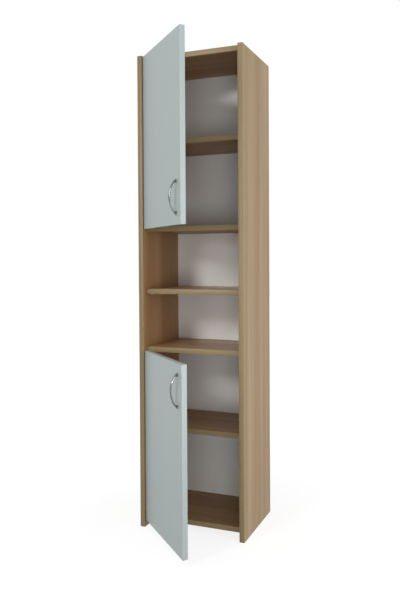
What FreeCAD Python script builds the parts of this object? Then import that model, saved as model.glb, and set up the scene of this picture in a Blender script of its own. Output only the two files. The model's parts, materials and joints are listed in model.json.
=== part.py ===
"""Tall bathroom cabinet with two doors that stand ajar and an open middle section.

Row frame: +Z up, the front faces -Y, +X is the viewer's right.  The origin lies on the
floor, under the middle of the whole cabinet's extent with its doors ajar.  Lengths are in
millimetres, angles in degrees.

Every door piece is drawn in its door's own frame: the origin on the hinge axis at floor
level, +X from the hinge edge to the free edge, +Y from the outer face to the inner face.
"""
import FreeCAD, Part
import math
import os
import Sketcher
from FreeCAD import Vector

doc = FreeCAD.newDocument("tall_bathroom_cabinet")

# --- driving dimensions ---------------------------------------------------------------

SIZES = {
    # carcass
    "cabinet_height": 1700,
    "cabinet_width": 400,
    "cabinet_depth": 300,
    "board_thickness": 18,
    "edging_thickness": 1,
    "front_setback": 22,
    "back_thickness": 3,
    "rebate_width": 7,
    "fitting_clearance": 0.5,
    # heights inside the carcass; each loose shelf is measured from the fixed board below it
    "bottom_level": 24,
    "lower_compartment_height": 594,
    "open_section_height": 417,
    "lower_shelf_rise": 309,
    "middle_shelf_rise": 192,
    "upper_shelf_rise": 291,
    # cam fittings and dowels in the board ends
    "cam_radius": 7.5,
    "cam_depth": 12,
    "cam_from_end": 34,
    "cam_from_edge": 45,
    "cam_slot_width": 2,
    "bolt_radius": 2.5,
    "bolt_grip": 11,
    "bolt_shank_radius": 3,
    "bolt_head_radius": 3.5,
    "bolt_head_length": 3,
    "dowel_radius": 4,
    "dowel_grip": 10,
    "dowel_length": 35,
    "dowel_from_cam": 32,
    "hole_clearance": 0.05,
    # shelf pins
    "pin_radius": 2.5,
    "pin_grip": 8,
    "pin_reach": 8,
    "pin_from_edge": 40,
    "pin_collar_radius": 3.75,
    "pin_collar_thickness": 0.8,
    "shelf_end_gap": 1,
    # nails of the back panel
    "nail_radius": 0.7,
    "nail_head_radius": 1.6,
    "nail_head_thickness": 0.6,
    "nail_length": 16,
    "nail_side_margin": 60,
    "nail_board_margin": 90,
    "nails_per_side": 7,
    # doors
    "door_thickness": 18,
    "door_gap": 3,
    "rest_opening": 43.5,
    "door_top_gap": 3,
    "upper_door_lap": 9,
    "lower_door_lap": 5,
    # hinge axis, from the door's hinge edge and outer face
    "axis_inset": 7.5,
    "axis_depth": 6,
    # hinge cups
    "hinge_inset": 100,
    "cup_edge": 4,
    "cup_radius": 17.5,
    "cup_bore_depth": 12,
    "cup_wall": 1,
    "cup_floor": 0.8,
    "flange_thickness": 1.2,
    "flange_half_height": 28,
    "flange_start": -6,
    "flange_end": 15.5,
    "ear_gap": 0.4,
    "ear_thickness": 3.6,
    "ear_half_width": 2.6,
    "ear_rise": 2.2,
    "cup_screw_spacing": 45,
    "cup_screw_offset": 9.5,
    "cup_screw_radius": 1.75,
    "cup_screw_head_radius": 3.4,
    "cup_screw_head_thickness": 1.4,
    "cup_screw_length": 12,
    # bent hinge link, from its cup pin
    "cup_pin_depth": 9.4,
    "cup_pin_radius": 1,
    "link_eye_radius": 1.9,
    "link_turn": 0.09,
    "link_half_height": 4,
    "link_sheet": 1.2,
    "link_drop": 0.9,
    "link_bend_radius": 17,
    "arm_pin_x": 36,
    "arm_pin_y": 29.3,
    "arm_pin_radius": 1.25,
    "loose_eye_play": 1.35,
    "loose_eye_wall": 1.3,
    # hinge arm and its mounting plate on the side board
    "arm_half_height": 6.2,
    "arm_cheek": 1.4,
    "arm_nose_radius": 4,
    "arm_width": 6,
    "arm_knee_y": 52,
    "arm_rear_y": 92,
    "arm_web": 1.6,
    "plate_front_y": 46,
    "plate_rear_y": 84,
    "plate_base_thickness": 2,
    "plate_ridge_height": 9,
    "plate_ridge_half_height": 7,
    "plate_half_height": 24,
    "plate_screw_spacing": 32,
    "plate_screw_y": 57,
    "plate_screw_radius": 2.5,
    "plate_screw_grip": 11,
    "plate_screw_head_radius": 3.6,
    "plate_screw_head_thickness": 1.8,
    "arm_screw_y": 72,
    "arm_screw_radius": 2,
    "arm_screw_head_radius": 3.6,
    "arm_screw_head_thickness": 1.6,
    "arm_screw_grip": 6,
    # bow handles
    "handle_spacing": 96,
    "handle_from_edge": 33,
    "handle_rise": 24,
    "handle_half_span": 57,
    "handle_half_width": 5,
    "handle_half_thickness": 2.6,
    "handle_tip_gap": 0.8,
    "handle_post_radius": 4,
    "handle_screw_radius": 2,
    "handle_screw_clearance": 0.3,
    "handle_screw_grip": 7,
    "handle_screw_head_radius": 4,
    "handle_screw_head_thickness": 2.2,
    "upper_handle_rise": 87,
    "lower_handle_drop": 87,
}

# Lengths that follow from the driving dimensions; both the expressions and this file's
# own code read them from the second sheet.
PLACES = {
    "inner_x": "Sizes.cabinet_width / 2 - Sizes.board_thickness",
    "inside_width": "Sizes.cabinet_width - 2 * Sizes.board_thickness",
    "door_width": "Places.inside_width - 2 * Sizes.door_gap",
    "door_reach": "(Places.door_width - Sizes.axis_inset) * sin(Sizes.rest_opening)"
                  " + Sizes.axis_depth * (cos(Sizes.rest_opening) - 1)",
    "front_y": "(Places.door_reach - Sizes.cabinet_depth) / 2",
    "rear_y": "Places.front_y + Sizes.cabinet_depth",
    "board_front_y": "Places.front_y + Sizes.front_setback + Sizes.edging_thickness",
    "board_depth": "Sizes.cabinet_depth - Sizes.front_setback - Sizes.edging_thickness"
                   " - Sizes.back_thickness",
    "half_board": "Sizes.board_thickness / 2",
    # undersides of the horizontal boards, above the floor
    "top_level": "Sizes.cabinet_height - Sizes.board_thickness",
    "lower_fixed_level": "Sizes.bottom_level + Sizes.board_thickness"
                         " + Sizes.lower_compartment_height",
    "upper_fixed_level": "Places.lower_fixed_level + Sizes.board_thickness"
                         " + Sizes.open_section_height",
    "lower_shelf_level": "Sizes.bottom_level + Sizes.board_thickness + Sizes.lower_shelf_rise",
    "middle_shelf_level": "Places.lower_fixed_level + Sizes.board_thickness"
                          " + Sizes.middle_shelf_rise",
    "upper_shelf_level": "Places.upper_fixed_level + Sizes.board_thickness"
                         " + Sizes.upper_shelf_rise",
    # each door laps over the fixed shelf next to the open section
    "upper_door_bottom": "Places.upper_fixed_level + Sizes.upper_door_lap",
    "upper_door_top": "Sizes.cabinet_height - Sizes.door_top_gap",
    "lower_door_top": "Places.lower_fixed_level + Sizes.lower_door_lap",
    "upper_handle_level": "Places.upper_door_bottom + Sizes.upper_handle_rise",
    "lower_handle_level": "Places.lower_door_top - Sizes.lower_handle_drop",
    "axis_x": "Sizes.door_gap + Sizes.axis_inset + Sizes.board_thickness"
              " - Sizes.cabinet_width / 2",
    "axis_y": "Places.front_y + Sizes.axis_depth",
    "door_left": "-Sizes.axis_inset",
    "door_outer": "-Sizes.axis_depth",
    "door_inner": "Sizes.door_thickness - Sizes.axis_depth",
    "cup_x": "Sizes.cup_edge + Sizes.cup_radius - Sizes.axis_inset",
    "cup_pin_y": "Sizes.cup_pin_depth - Sizes.axis_depth",
    "link_x": "Places.axis_x + Places.cup_pin_y * sin(Sizes.rest_opening)",
    "link_y": "Places.axis_y + Places.cup_pin_y * cos(Sizes.rest_opening)",
    "link_angle": "Sizes.link_turn * Sizes.rest_opening",
    "arm_pin_world_x": "Sizes.arm_pin_x - Places.inner_x",
    "arm_pin_world_y": "Sizes.arm_pin_y + Places.front_y",
    "eye_x": "(Places.arm_pin_world_x - Places.link_x) * cos(Places.link_angle)"
             " + (Places.arm_pin_world_y - Places.link_y) * sin(Places.link_angle)",
    "eye_y": "(Places.arm_pin_world_y - Places.link_y) * cos(Places.link_angle)"
             " - (Places.arm_pin_world_x - Places.link_x) * sin(Places.link_angle)",
    "handle_x": "Places.door_width - Sizes.handle_from_edge - Sizes.axis_inset",
    "handle_radius": "(Sizes.handle_half_span ^ 2 + Sizes.handle_rise ^ 2)"
                     " / (2 * Sizes.handle_rise)",
    "handle_centre_y": "Places.door_outer - Sizes.handle_tip_gap - Sizes.handle_rise"
                       " + Places.handle_radius",
}


def make_sheet(name, cells, formula):
    """A spreadsheet with one aliased cell per value; formulas get an equals sign."""
    sheet = doc.addObject("Spreadsheet::Sheet", name)
    for row, (alias, value) in enumerate(cells.items(), 1):
        sheet.set(f"A{row}", alias)
        sheet.set(f"B{row}", f"={value}" if formula else str(value))
        sheet.setAlias(f"B{row}", alias)
    return sheet


sizes_sheet = make_sheet("Sizes", SIZES, formula=False)
doc.recompute()
places_sheet = make_sheet("Places", PLACES, formula=True)
doc.recompute()


def value(text):
    """Number of a named size or place, as the sheets hold it now."""
    sheet = sizes_sheet if text in SIZES else places_sheet
    return float(getattr(sheet, text))


def expr(text):
    """Expression text in which each name of the sheets gets its sheet in front."""
    words = []
    word = ""
    for letter in text + " ":
        if letter.isalnum() or letter == "_":
            word += letter
            continue
        if word in SIZES:
            word = "Sizes." + word
        elif word in PLACES:
            word = "Places." + word
        words.append(word + letter)
        word = ""
    return "".join(words).strip()


# --- helpers that make bound features -------------------------------------------------

def bind(thing, **formulas):
    """Bind properties to expressions; a double underscore in a name is a dot."""
    for name, formula in formulas.items():
        thing.setExpression(name.replace("__", "."), expr(formula))
    return thing


def put(thing, x="0", y="0", z="0", angle=None):
    """Bind a placement: a corner or centre, and a turn about the vertical."""
    if angle is not None:
        thing.Placement = FreeCAD.Placement(Vector(), FreeCAD.Rotation(Vector(0, 0, 1), 1))
        thing.setExpression("Placement.Rotation.Angle", expr(angle))
    return bind(thing, Placement__Base__x=x, Placement__Base__y=y, Placement__Base__z=z)


def on_door(thing):
    """Place a piece that was drawn in the door's own frame on its door, ajar."""
    return put(thing, "axis_x", "axis_y", "0", "-rest_opening")


def box(name, length, width, height, x="0", y="0", z="0"):
    """A bound box from its lowest corner."""
    solid = doc.addObject("Part::Box", name)
    bind(solid, Length=length, Width=width, Height=height)
    return put(solid, x, y, z)


def rod(name, radius, length, x="0", y="0", z="0", axis="z"):
    """A bound cylinder that runs along +X, +Y or +Z from its first end."""
    solid = doc.addObject("Part::Cylinder", name)
    turns = {
        "x": FreeCAD.Rotation(Vector(0, 1, 0), 90),
        "y": FreeCAD.Rotation(Vector(1, 0, 0), -90),
        "z": FreeCAD.Rotation(),
    }
    solid.Placement = FreeCAD.Placement(Vector(), turns[axis])
    bind(solid, Radius=radius, Height=length)
    return put(solid, x, y, z)


def fuse(name, *shapes):
    """One solid from several that overlap."""
    solid = doc.addObject("Part::MultiFuse", name)
    solid.Shapes = list(shapes)
    solid.Refine = True
    return solid


def cut(name, base, *tools):
    """A solid less one or more others."""
    tool = tools[0] if len(tools) == 1 else fuse(name + "_tools", *tools)
    solid = doc.addObject("Part::Cut", name)
    solid.Base = base
    solid.Tool = tool
    return solid


def group(label, *solids):
    """A node of separate solids, drawn in place."""
    node = doc.addObject("Part::Compound", label)
    node.Links = list(solids)
    node.Label = label
    return node


def copies(label, master, spots):
    """A node of equal solids: copies of one master at the given placements."""
    doc.recompute()
    node = doc.addObject("Part::Feature", label)
    node.Shape = Part.makeCompound([master.Shape.transformed(p.toMatrix(), True) for p in spots])
    node.Label = label
    return node


def spot(x, y, z, rotation=None):
    """A placement from three numbers and a rotation."""
    return FreeCAD.Placement(Vector(x, y, z), rotation or FreeCAD.Rotation())


HALF_TURN = FreeCAD.Rotation(Vector(0, 0, 1), 180)
UPSIDE_DOWN = FreeCAD.Rotation(Vector(1, 0, 0), 180)


def make_body(label, x="0", y="0", z="0", angle=None):
    """An empty body with its own label and a bound placement."""
    body = doc.addObject("PartDesign::Body", label)
    body.Label = label
    return put(body, x, y, z, angle)


def make_sketch(body, name, plane, lift=None):
    """A sketch on one of the body's own origin planes, lifted off it if asked."""
    sketch = body.newObject("Sketcher::SketchObject", name)
    support = [f for f in body.Origin.OriginFeatures if f.Role == plane][0]
    sketch.AttachmentSupport = [(support, "")]
    sketch.MapMode = "FlatFace"
    if lift:
        sketch.setExpression("AttachmentOffset.Base.z", expr(lift))
    return sketch


def hold(sketch, kind, *terms, to):
    """Add a dimension to a sketch and bind it."""
    index = sketch.addConstraint(Sketcher.Constraint(kind, *terms))
    sketch.setExpression(f"Constraints[{index}]", expr(to))


def outline(sketch, points):
    """A closed outline of straight lines through points whose places are expressions."""
    numbers = [Vector(*[evaluate(term) for term in point], 0) for point in points]
    first = sketch.GeometryCount
    count = len(points)
    for i in range(count):
        sketch.addGeometry(Part.LineSegment(numbers[i], numbers[(i + 1) % count]), False)
    for i in range(count):
        line = first + i
        following = first + (i + 1) % count
        sketch.addConstraint(Sketcher.Constraint("Coincident", line, 2, following, 1))
    for i, (across, up) in enumerate(points):
        hold(sketch, "DistanceX", -1, 1, first + i, 1, numbers[i].x, to=across)
        hold(sketch, "DistanceY", -1, 1, first + i, 1, numbers[i].y, to=up)
    return sketch


def circles(sketch, radius, centres):
    """Circles of one radius at centres whose places are expressions."""
    size = evaluate(radius)
    for across, up in centres:
        centre = Vector(evaluate(across), evaluate(up), 0)
        circle = sketch.addGeometry(Part.Circle(centre, Vector(0, 0, 1), size), False)
        hold(sketch, "Radius", circle, size, to=radius)
        hold(sketch, "DistanceX", -1, 1, circle, 3, centre.x, to=across)
        hold(sketch, "DistanceY", -1, 1, circle, 3, centre.y, to=up)
    return sketch


def evaluate(text):
    """Number of an expression of named sizes and places."""
    result = places_sheet.evalExpression(expr(text))
    return float(getattr(result, "Value", result))


def pad(body, sketch, length, reverse=False, both_ways=False):
    """Grow a sketch into the body's solid."""
    feature = body.newObject("PartDesign::Pad", sketch.Name + "_pad")
    feature.Profile = sketch
    feature.Reversed = reverse
    feature.Midplane = both_ways
    bind(feature, Length=length)
    doc.recompute()
    return feature


def pocket(body, sketch, depth, reverse=False, both_ways=False):
    """Cut a sketch out of the body, and make sure that it took something away."""
    before = body.Shape.Volume
    feature = body.newObject("PartDesign::Pocket", sketch.Name + "_pocket")
    feature.Profile = sketch
    feature.Reversed = reverse
    feature.Midplane = both_ways
    bind(feature, Length=depth)
    doc.recompute()
    if not body.Shape.Volume < before:
        raise RuntimeError(f"{sketch.Name} cuts nothing")
    return feature


# --- where the boards and fittings sit ------------------------------------------------

FIXED_LEVELS = {
    "bottom_panel": "bottom_level",
    "lower_fixed_shelf": "lower_fixed_level",
    "upper_fixed_shelf": "upper_fixed_level",
    "top_panel": "top_level",
}
# Cams are let in from the face of each board that is out of sight in use.
CAMS_ON_TOP = ("upper_fixed_shelf", "top_panel")
LOOSE_LEVELS = {
    "lower_shelf": "lower_shelf_level",
    "middle_shelf": "middle_shelf_level",
    "upper_shelf": "upper_shelf_level",
}
# Places along a board's depth, measured from its core's front edge.
CAM_SPOTS = ("cam_from_edge", "board_depth - cam_from_edge")
DOWEL_SPOTS = ("cam_from_edge + dowel_from_cam", "board_depth - cam_from_edge - dowel_from_cam")
PIN_SPOTS = ("pin_from_edge", "board_depth - pin_from_edge")
# From the side board's own front edge to a horizontal board's core.
CORE_START = "front_setback + edging_thickness"
DOORS = {
    "upper": ("upper_door_bottom", "upper_door_top", "upper_handle_level"),
    "lower": ("bottom_level", "lower_door_top", "lower_handle_level"),
}


def hinge_levels(door):
    """Expressions of the heights of one door's two hinges."""
    bottom, top, _ = DOORS[door]
    return (f"{bottom} + hinge_inset", f"{top} - hinge_inset")


ALL_HINGES = [level for door in DOORS for level in hinge_levels(door)]


def nail_levels():
    """Heights of the nails along each side board, evenly spread."""
    low = value("bottom_level") + value("nail_side_margin")
    high = value("cabinet_height") - value("nail_side_margin")
    count = int(value("nails_per_side"))
    return [low + (high - low) * i / (count - 1) for i in range(count)]


# --- boards ---------------------------------------------------------------------------

def make_side(label, right):
    """Side board; its own origin is the lower front corner of its inner face."""
    body = make_body(label, "inner_x" if right else "-inner_x", "front_y")
    face = make_sketch(body, label + "_face", "YZ_Plane")
    outline(face, [("edging_thickness", "0"), ("cabinet_depth", "0"),
                   ("cabinet_depth", "cabinet_height"), ("edging_thickness", "cabinet_height")])
    pad(body, face, "board_thickness", reverse=not right)

    rebate = make_sketch(body, label + "_rebate", "YZ_Plane")
    low, high = "bottom_level", "cabinet_height"
    start = "cabinet_depth - back_thickness"
    outline(rebate, [(start, low), ("cabinet_depth", low), ("cabinet_depth", high), (start, high)])
    pocket(body, rebate, "rebate_width", reverse=right)

    def drill(name, radius, depth, centres):
        """Blind holes in the inner face."""
        holes = circles(make_sketch(body, f"{label}_{name}", "YZ_Plane"), radius, centres)
        pocket(body, holes, depth, reverse=right)

    heights = [f"{level} + half_board" for level in FIXED_LEVELS.values()]
    drill("bolt_holes", "bolt_radius", "bolt_grip + fitting_clearance",
          [(f"{CORE_START} + {y}", z) for z in heights for y in CAM_SPOTS])
    drill("dowel_holes", "dowel_radius", "dowel_grip + fitting_clearance",
          [(f"{CORE_START} + {y}", z) for z in heights for y in DOWEL_SPOTS])
    drill("pin_holes", "pin_radius", "pin_grip + fitting_clearance",
          [(f"{CORE_START} + {y}", f"{level} - pin_radius + hole_clearance")
           for level in LOOSE_LEVELS.values() for y in PIN_SPOTS])
    if not right:
        drill("plate_screw_holes", "plate_screw_radius", "plate_screw_grip + fitting_clearance",
              [("plate_screw_y", f"{level} {sign} plate_screw_spacing / 2")
               for level in ALL_HINGES for sign in ("+", "-")])

    nails = make_sketch(body, label + "_nail_holes", "XZ_Plane", "-cabinet_depth")
    across = "rebate_width / 2" if right else "-rebate_width / 2"
    spread = "(cabinet_height - bottom_level - 2 * nail_side_margin) / (nails_per_side - 1)"
    count = int(value("nails_per_side"))
    circles(nails, "nail_radius + hole_clearance",
            [(across, f"bottom_level + nail_side_margin + {i} * {spread}") for i in range(count)])
    pocket(body, nails, "nail_length + fitting_clearance", reverse=True)
    return body


def make_fixed_board(label, level):
    """Fixed horizontal board; its own origin is the core's lower left front corner."""
    body = make_body(label, "-inner_x", "board_front_y", level)
    plan = make_sketch(body, label + "_plan", "XY_Plane")
    outline(plan, [("0", "0"), ("inside_width", "0"), ("inside_width", "board_depth"),
                   ("0", "board_depth")])
    pad(body, plan, "board_thickness")

    for end in ("left", "right"):
        lift = None if end == "left" else "inside_width"
        leftwards = end == "right"
        bolts = make_sketch(body, f"{label}_{end}_bolt_bores", "YZ_Plane", lift)
        circles(bolts, "dowel_radius", [(y, "half_board") for y in CAM_SPOTS])
        pocket(body, bolts, "cam_from_end", reverse=not leftwards)
        dowels = make_sketch(body, f"{label}_{end}_dowel_bores", "YZ_Plane", lift)
        circles(dowels, "dowel_radius", [(y, "half_board") for y in DOWEL_SPOTS])
        pocket(body, dowels, "dowel_length - dowel_grip + fitting_clearance",
               reverse=not leftwards)

    on_top = label in CAMS_ON_TOP
    cams = make_sketch(body, label + "_cam_bores", "XY_Plane", "board_thickness" if on_top else None)
    circles(cams, "cam_radius + hole_clearance",
            [(x, y) for x in ("cam_from_end", "inside_width - cam_from_end") for y in CAM_SPOTS])
    pocket(body, cams, "cam_depth + fitting_clearance", reverse=not on_top)

    nails = make_sketch(body, label + "_nail_holes", "XZ_Plane", "-board_depth")
    circles(nails, "nail_radius + hole_clearance",
            [(x, "half_board") for x in ("nail_board_margin", "inside_width - nail_board_margin")])
    pocket(body, nails, "nail_length + fitting_clearance", reverse=True)
    return body


def make_loose_shelf(label, level):
    """Shelf that rests on four pins, with a small gap at each end."""
    body = make_body(label, "shelf_end_gap - inner_x", "board_front_y", level)
    plan = make_sketch(body, label + "_plan", "XY_Plane")
    length = "inside_width - 2 * shelf_end_gap"
    depth = "board_depth - fitting_clearance"
    outline(plan, [("0", "0"), (length, "0"), (length, depth), ("0", depth)])
    pad(body, plan, "board_thickness")
    return body


def make_back_panel():
    """Thin back panel, flush in the rebates of the side boards."""
    body = make_body("back_panel", "-inner_x - rebate_width + fitting_clearance",
                     "rear_y", "bottom_level")
    sketch = make_sketch(body, "back_panel_face", "XZ_Plane")
    width = "inside_width + 2 * rebate_width - 2 * fitting_clearance"
    height = "cabinet_height - bottom_level - fitting_clearance"
    outline(sketch, [("0", "0"), (width, "0"), (width, height), ("0", height)])
    pad(body, sketch, "back_thickness")

    inset = "rebate_width / 2 - fitting_clearance"
    spread = "(cabinet_height - bottom_level - 2 * nail_side_margin) / (nails_per_side - 1)"
    count = int(value("nails_per_side"))
    spots = [(x, f"nail_side_margin + {i} * {spread}")
             for i in range(count) for x in (inset, f"{width} - ({inset})")]
    reach = "rebate_width - fitting_clearance + nail_board_margin"
    spots += [(x, f"{level} + half_board - bottom_level")
              for level in FIXED_LEVELS.values() for x in (reach, f"{width} - ({reach})")]
    holes = circles(make_sketch(body, "back_panel_nail_holes", "XZ_Plane"),
                    "nail_radius + hole_clearance", spots)
    pocket(body, holes, "back_thickness", reverse=True)
    return body


def make_edgings():
    """Thin strips on the front edges of the side boards and of the horizontal boards."""
    sides = [box(f"{name}_strip", "board_thickness", "edging_thickness", "cabinet_height", x, "front_y")
             for name, x in (("left", "-cabinet_width / 2"), ("right", "inner_x"))]
    group("side_edge_strips", *sides)
    front = "board_front_y - edging_thickness"
    strips = [box(f"{name}_strip", "inside_width", "edging_thickness", "board_thickness",
                  "-inner_x", front, level) for name, level in FIXED_LEVELS.items()]
    strips += [box(f"{name}_strip", "inside_width - 2 * shelf_end_gap", "edging_thickness",
                   "board_thickness", "shelf_end_gap - inner_x", front, level)
               for name, level in LOOSE_LEVELS.items()]
    group("shelf_edge_strips", *strips)


# --- fasteners of the carcass ---------------------------------------------------------

def fixed_spots(spots, z_of):
    """Placements at both ends of every fixed board, pointing into the side boards."""
    found = []
    for name, level in FIXED_LEVELS.items():
        for y in spots:
            depth = value("board_front_y") + evaluate(y)
            height = value(level) + z_of(name)
            found.append(spot(-value("inner_x"), depth, height))
            found.append(spot(value("inner_x"), depth, height, HALF_TURN))
    return found


def make_cams():
    """Cam lock: a disc with a cross recess on its face and a mouth for the bolt's head."""
    disc = rod("cam_disc", "cam_radius", "cam_depth")
    mouth_height = "2 * bolt_head_radius + 2 * fitting_clearance"
    # The mouth opens towards -X, at the height of the bolt above the disc's inner end.
    low = "cam_depth - half_board - bolt_head_radius - fitting_clearance"
    mouth = box("cam_mouth", "cam_radius + bolt_head_length", mouth_height, mouth_height,
                "-cam_radius", "-bolt_head_radius - fitting_clearance", low)
    slots = [box(f"cam_slot_{axis}", *size, "cam_slot_width", x, y, "cam_depth - cam_slot_width")
             for axis, size, x, y in (
                 ("x", ("1.4 * cam_radius", "cam_slot_width"), "-0.7 * cam_radius", "-cam_slot_width / 2"),
                 ("y", ("cam_slot_width", "1.4 * cam_radius"), "-cam_slot_width / 2", "-0.7 * cam_radius"))]
    master = cut("cam_lock_master", disc, mouth, *slots)

    doc.recompute()
    depth = value("cam_depth")
    thickness = value("board_thickness")
    reach = value("inner_x") - value("cam_from_end")
    spots = []
    for name, level in FIXED_LEVELS.items():
        for y in CAM_SPOTS:
            at_y = value("board_front_y") + evaluate(y)
            if name in CAMS_ON_TOP:
                height = value(level) + thickness - depth
                spots.append(spot(-reach, at_y, height))
                spots.append(spot(reach, at_y, height, HALF_TURN))
            else:
                height = value(level) + depth
                spots.append(spot(-reach, at_y, height, UPSIDE_DOWN))
                spots.append(spot(reach, at_y, height, HALF_TURN.multiply(UPSIDE_DOWN)))
    copies("cam_locks", master, spots)


def make_cam_bolts():
    """Bolt of a cam fitting: a screwed end in the side board, a shank and a head."""
    thread = rod("bolt_thread", "bolt_radius - hole_clearance", "bolt_grip", "-bolt_grip", axis="x")
    shank = rod("bolt_shank", "bolt_shank_radius", "cam_from_end - bolt_head_length", axis="x")
    head = rod("bolt_head", "bolt_head_radius", "bolt_head_length",
               "cam_from_end - bolt_head_length", axis="x")
    master = fuse("cam_bolt_master", thread, shank, head)
    half = value("half_board")
    copies("cam_bolts", master, fixed_spots(CAM_SPOTS, lambda name: half))


def make_dowels():
    """Wooden dowels between the fixed boards and the side boards, ends rounded off."""
    peg = rod("dowel_peg", "dowel_radius - hole_clearance", "dowel_length", "-dowel_grip", axis="x")
    master = doc.addObject("Part::Chamfer", "dowel_master")
    master.Base = peg
    doc.recompute()
    bevel = value("fitting_clearance")
    rims = [i for i, e in enumerate(peg.Shape.Edges, 1) if isinstance(e.Curve, Part.Circle)]
    master.Edges = [(i, bevel, bevel) for i in rims]
    half = value("half_board")
    copies("dowels", master, fixed_spots(DOWEL_SPOTS, lambda name: half))


def make_shelf_pins():
    """Pins under the loose shelves: a collar against the side board and a stub."""
    stub = rod("pin_stub", "pin_radius - hole_clearance", "pin_grip + pin_reach", "-pin_grip", axis="x")
    collar = rod("pin_collar", "pin_collar_radius", "pin_collar_thickness", axis="x")
    master = fuse("shelf_pin_master", stub, collar)
    spots = []
    for level in LOOSE_LEVELS.values():
        for y in PIN_SPOTS:
            depth = value("board_front_y") + evaluate(y)
            height = value(level) - value("pin_radius") + value("hole_clearance")
            spots.append(spot(-value("inner_x"), depth, height))
            spots.append(spot(value("inner_x"), depth, height, HALF_TURN))
    copies("shelf_pins", master, spots)


def make_nails():
    """Nails of the back panel, heads on its rear face."""
    shank = rod("nail_shank", "nail_radius", "nail_length", "0", "-nail_length", axis="y")
    head = rod("nail_head", "nail_head_radius", "nail_head_thickness", axis="y")
    master = fuse("nail_master", shank, head)
    side_x = value("inner_x") + value("rebate_width") / 2
    board_x = value("inner_x") - value("nail_board_margin")
    places = [(x, z) for z in nail_levels() for x in (-side_x, side_x)]
    places += [(x, value(level) + value("half_board"))
               for level in FIXED_LEVELS.values() for x in (-board_x, board_x)]
    copies("back_panel_nails", master, [spot(x, value("rear_y"), z) for x, z in places])


# --- hinges: fixed half on the left side board ----------------------------------------

def make_plates():
    """Mounting plates: a thin base with wings and a ridge that carries the arm."""
    length = "plate_rear_y - plate_front_y"
    base = box("plate_base", "plate_base_thickness", length, "2 * plate_half_height",
               "0", "plate_front_y", "-plate_half_height")
    ridge = box("plate_ridge", "plate_ridge_height", length, "2 * plate_ridge_half_height",
                "0", "plate_front_y", "-plate_ridge_half_height")
    holes = [rod(f"plate_hole_{n}", "plate_screw_radius", "2 * plate_base_thickness",
                 "-plate_base_thickness / 2", "plate_screw_y", f"{sign}plate_screw_spacing / 2",
                 axis="x") for n, sign in (("a", ""), ("b", "-"))]
    thread = rod("plate_thread", "arm_screw_radius + hole_clearance",
                 "arm_screw_grip + fitting_clearance",
                 "plate_ridge_height - arm_screw_grip - fitting_clearance", "arm_screw_y", axis="x")
    plate = cut("hinge_plate_master", fuse("plate_blank", base, ridge), *holes, thread)
    copies("hinge_plates", plate, hinge_spots())


def hinge_spots():
    """Placements of the four hinges on the left side board's inner face."""
    return [spot(-value("inner_x"), value("front_y"), evaluate(level)) for level in ALL_HINGES]


def make_plate_screws():
    """Screws of the mounting plates."""
    shank = rod("plate_screw_shank", "plate_screw_radius - hole_clearance",
                "plate_screw_grip + plate_base_thickness", "-plate_screw_grip", axis="x")
    head = rod("plate_screw_head", "plate_screw_head_radius", "plate_screw_head_thickness",
               "plate_base_thickness", axis="x")
    recess = box("plate_screw_slot", "plate_screw_head_thickness", "2 * plate_screw_head_radius",
                 "cam_slot_width / 2",
                 "plate_base_thickness + plate_screw_head_thickness / 2",
                 "-plate_screw_head_radius", "-cam_slot_width / 4")
    master = cut("plate_screw_master", fuse("plate_screw_blank", shank, head), recess)
    spots = []
    for level in ALL_HINGES:
        for sign in (1, -1):
            height = evaluate(level) + sign * value("plate_screw_spacing") / 2
            spots.append(spot(-value("inner_x"), value("front_y") + value("plate_screw_y"), height))
    copies("hinge_plate_screws", master, spots)


def make_arms():
    """Hinge arms: channels that reach from the plate to the pin beside the door."""
    body = make_body("hinge_arm_master")
    plan = make_sketch(body, "arm_plan", "XY_Plane")
    low = "plate_ridge_height"
    high = "plate_ridge_height + arm_width"
    nose = "arm_nose_radius"
    outline(plan, [
        (low, "arm_rear_y"), (low, "arm_knee_y"),
        (f"arm_pin_x - {nose}", f"arm_pin_y + 0.4 * {nose}"),
        (f"arm_pin_x - 0.7 * {nose}", f"arm_pin_y - 0.7 * {nose}"),
        ("arm_pin_x", f"arm_pin_y - {nose}"),
        (f"arm_pin_x + 0.7 * {nose}", f"arm_pin_y - 0.7 * {nose}"),
        (f"arm_pin_x + {nose}", f"arm_pin_y + 0.4 * {nose}"),
        (high, "arm_knee_y + arm_width"), (high, "arm_rear_y"),
    ])
    pad(body, plan, "2 * arm_half_height", both_ways=True)
    channel = make_sketch(body, "arm_channel", "XY_Plane")
    outline(channel, [
        (low + " - arm_web", "arm_rear_y + arm_web"), (low + " - arm_web", "arm_knee_y - arm_width"),
        ("arm_pin_x - 2 * arm_nose_radius", "arm_pin_y - 2 * arm_nose_radius"),
        ("arm_pin_x + 2 * arm_nose_radius", "arm_pin_y - 2 * arm_nose_radius"),
        ("arm_pin_x + 2 * arm_nose_radius", "arm_pin_y + arm_width"),
        ("arm_pin_x - arm_web", "arm_pin_y + arm_width"),
        (high + " - arm_web", "arm_knee_y"), (high + " - arm_web", "arm_rear_y + arm_web"),
    ])
    pocket(body, channel, "2 * arm_half_height - 2 * arm_cheek", both_ways=True)
    pin_hole = circles(make_sketch(body, "arm_pin_hole", "XY_Plane"),
                       "arm_pin_radius + hole_clearance", [("arm_pin_x", "arm_pin_y")])
    pocket(body, pin_hole, "2 * arm_half_height", both_ways=True)
    screw_hole = circles(make_sketch(body, "arm_screw_hole", "YZ_Plane", high + " + arm_web"),
                         "arm_screw_radius + hole_clearance", [("arm_screw_y", "0")])
    pocket(body, screw_hole, "3 * arm_web")
    copies("hinge_arms", body, hinge_spots())


def make_arm_pins():
    """Pins across the arms' noses."""
    pin = rod("arm_pin_master", "arm_pin_radius", "2 * arm_half_height",
              "arm_pin_x", "arm_pin_y", "-arm_half_height")
    copies("hinge_arm_pins", pin, hinge_spots())


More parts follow.
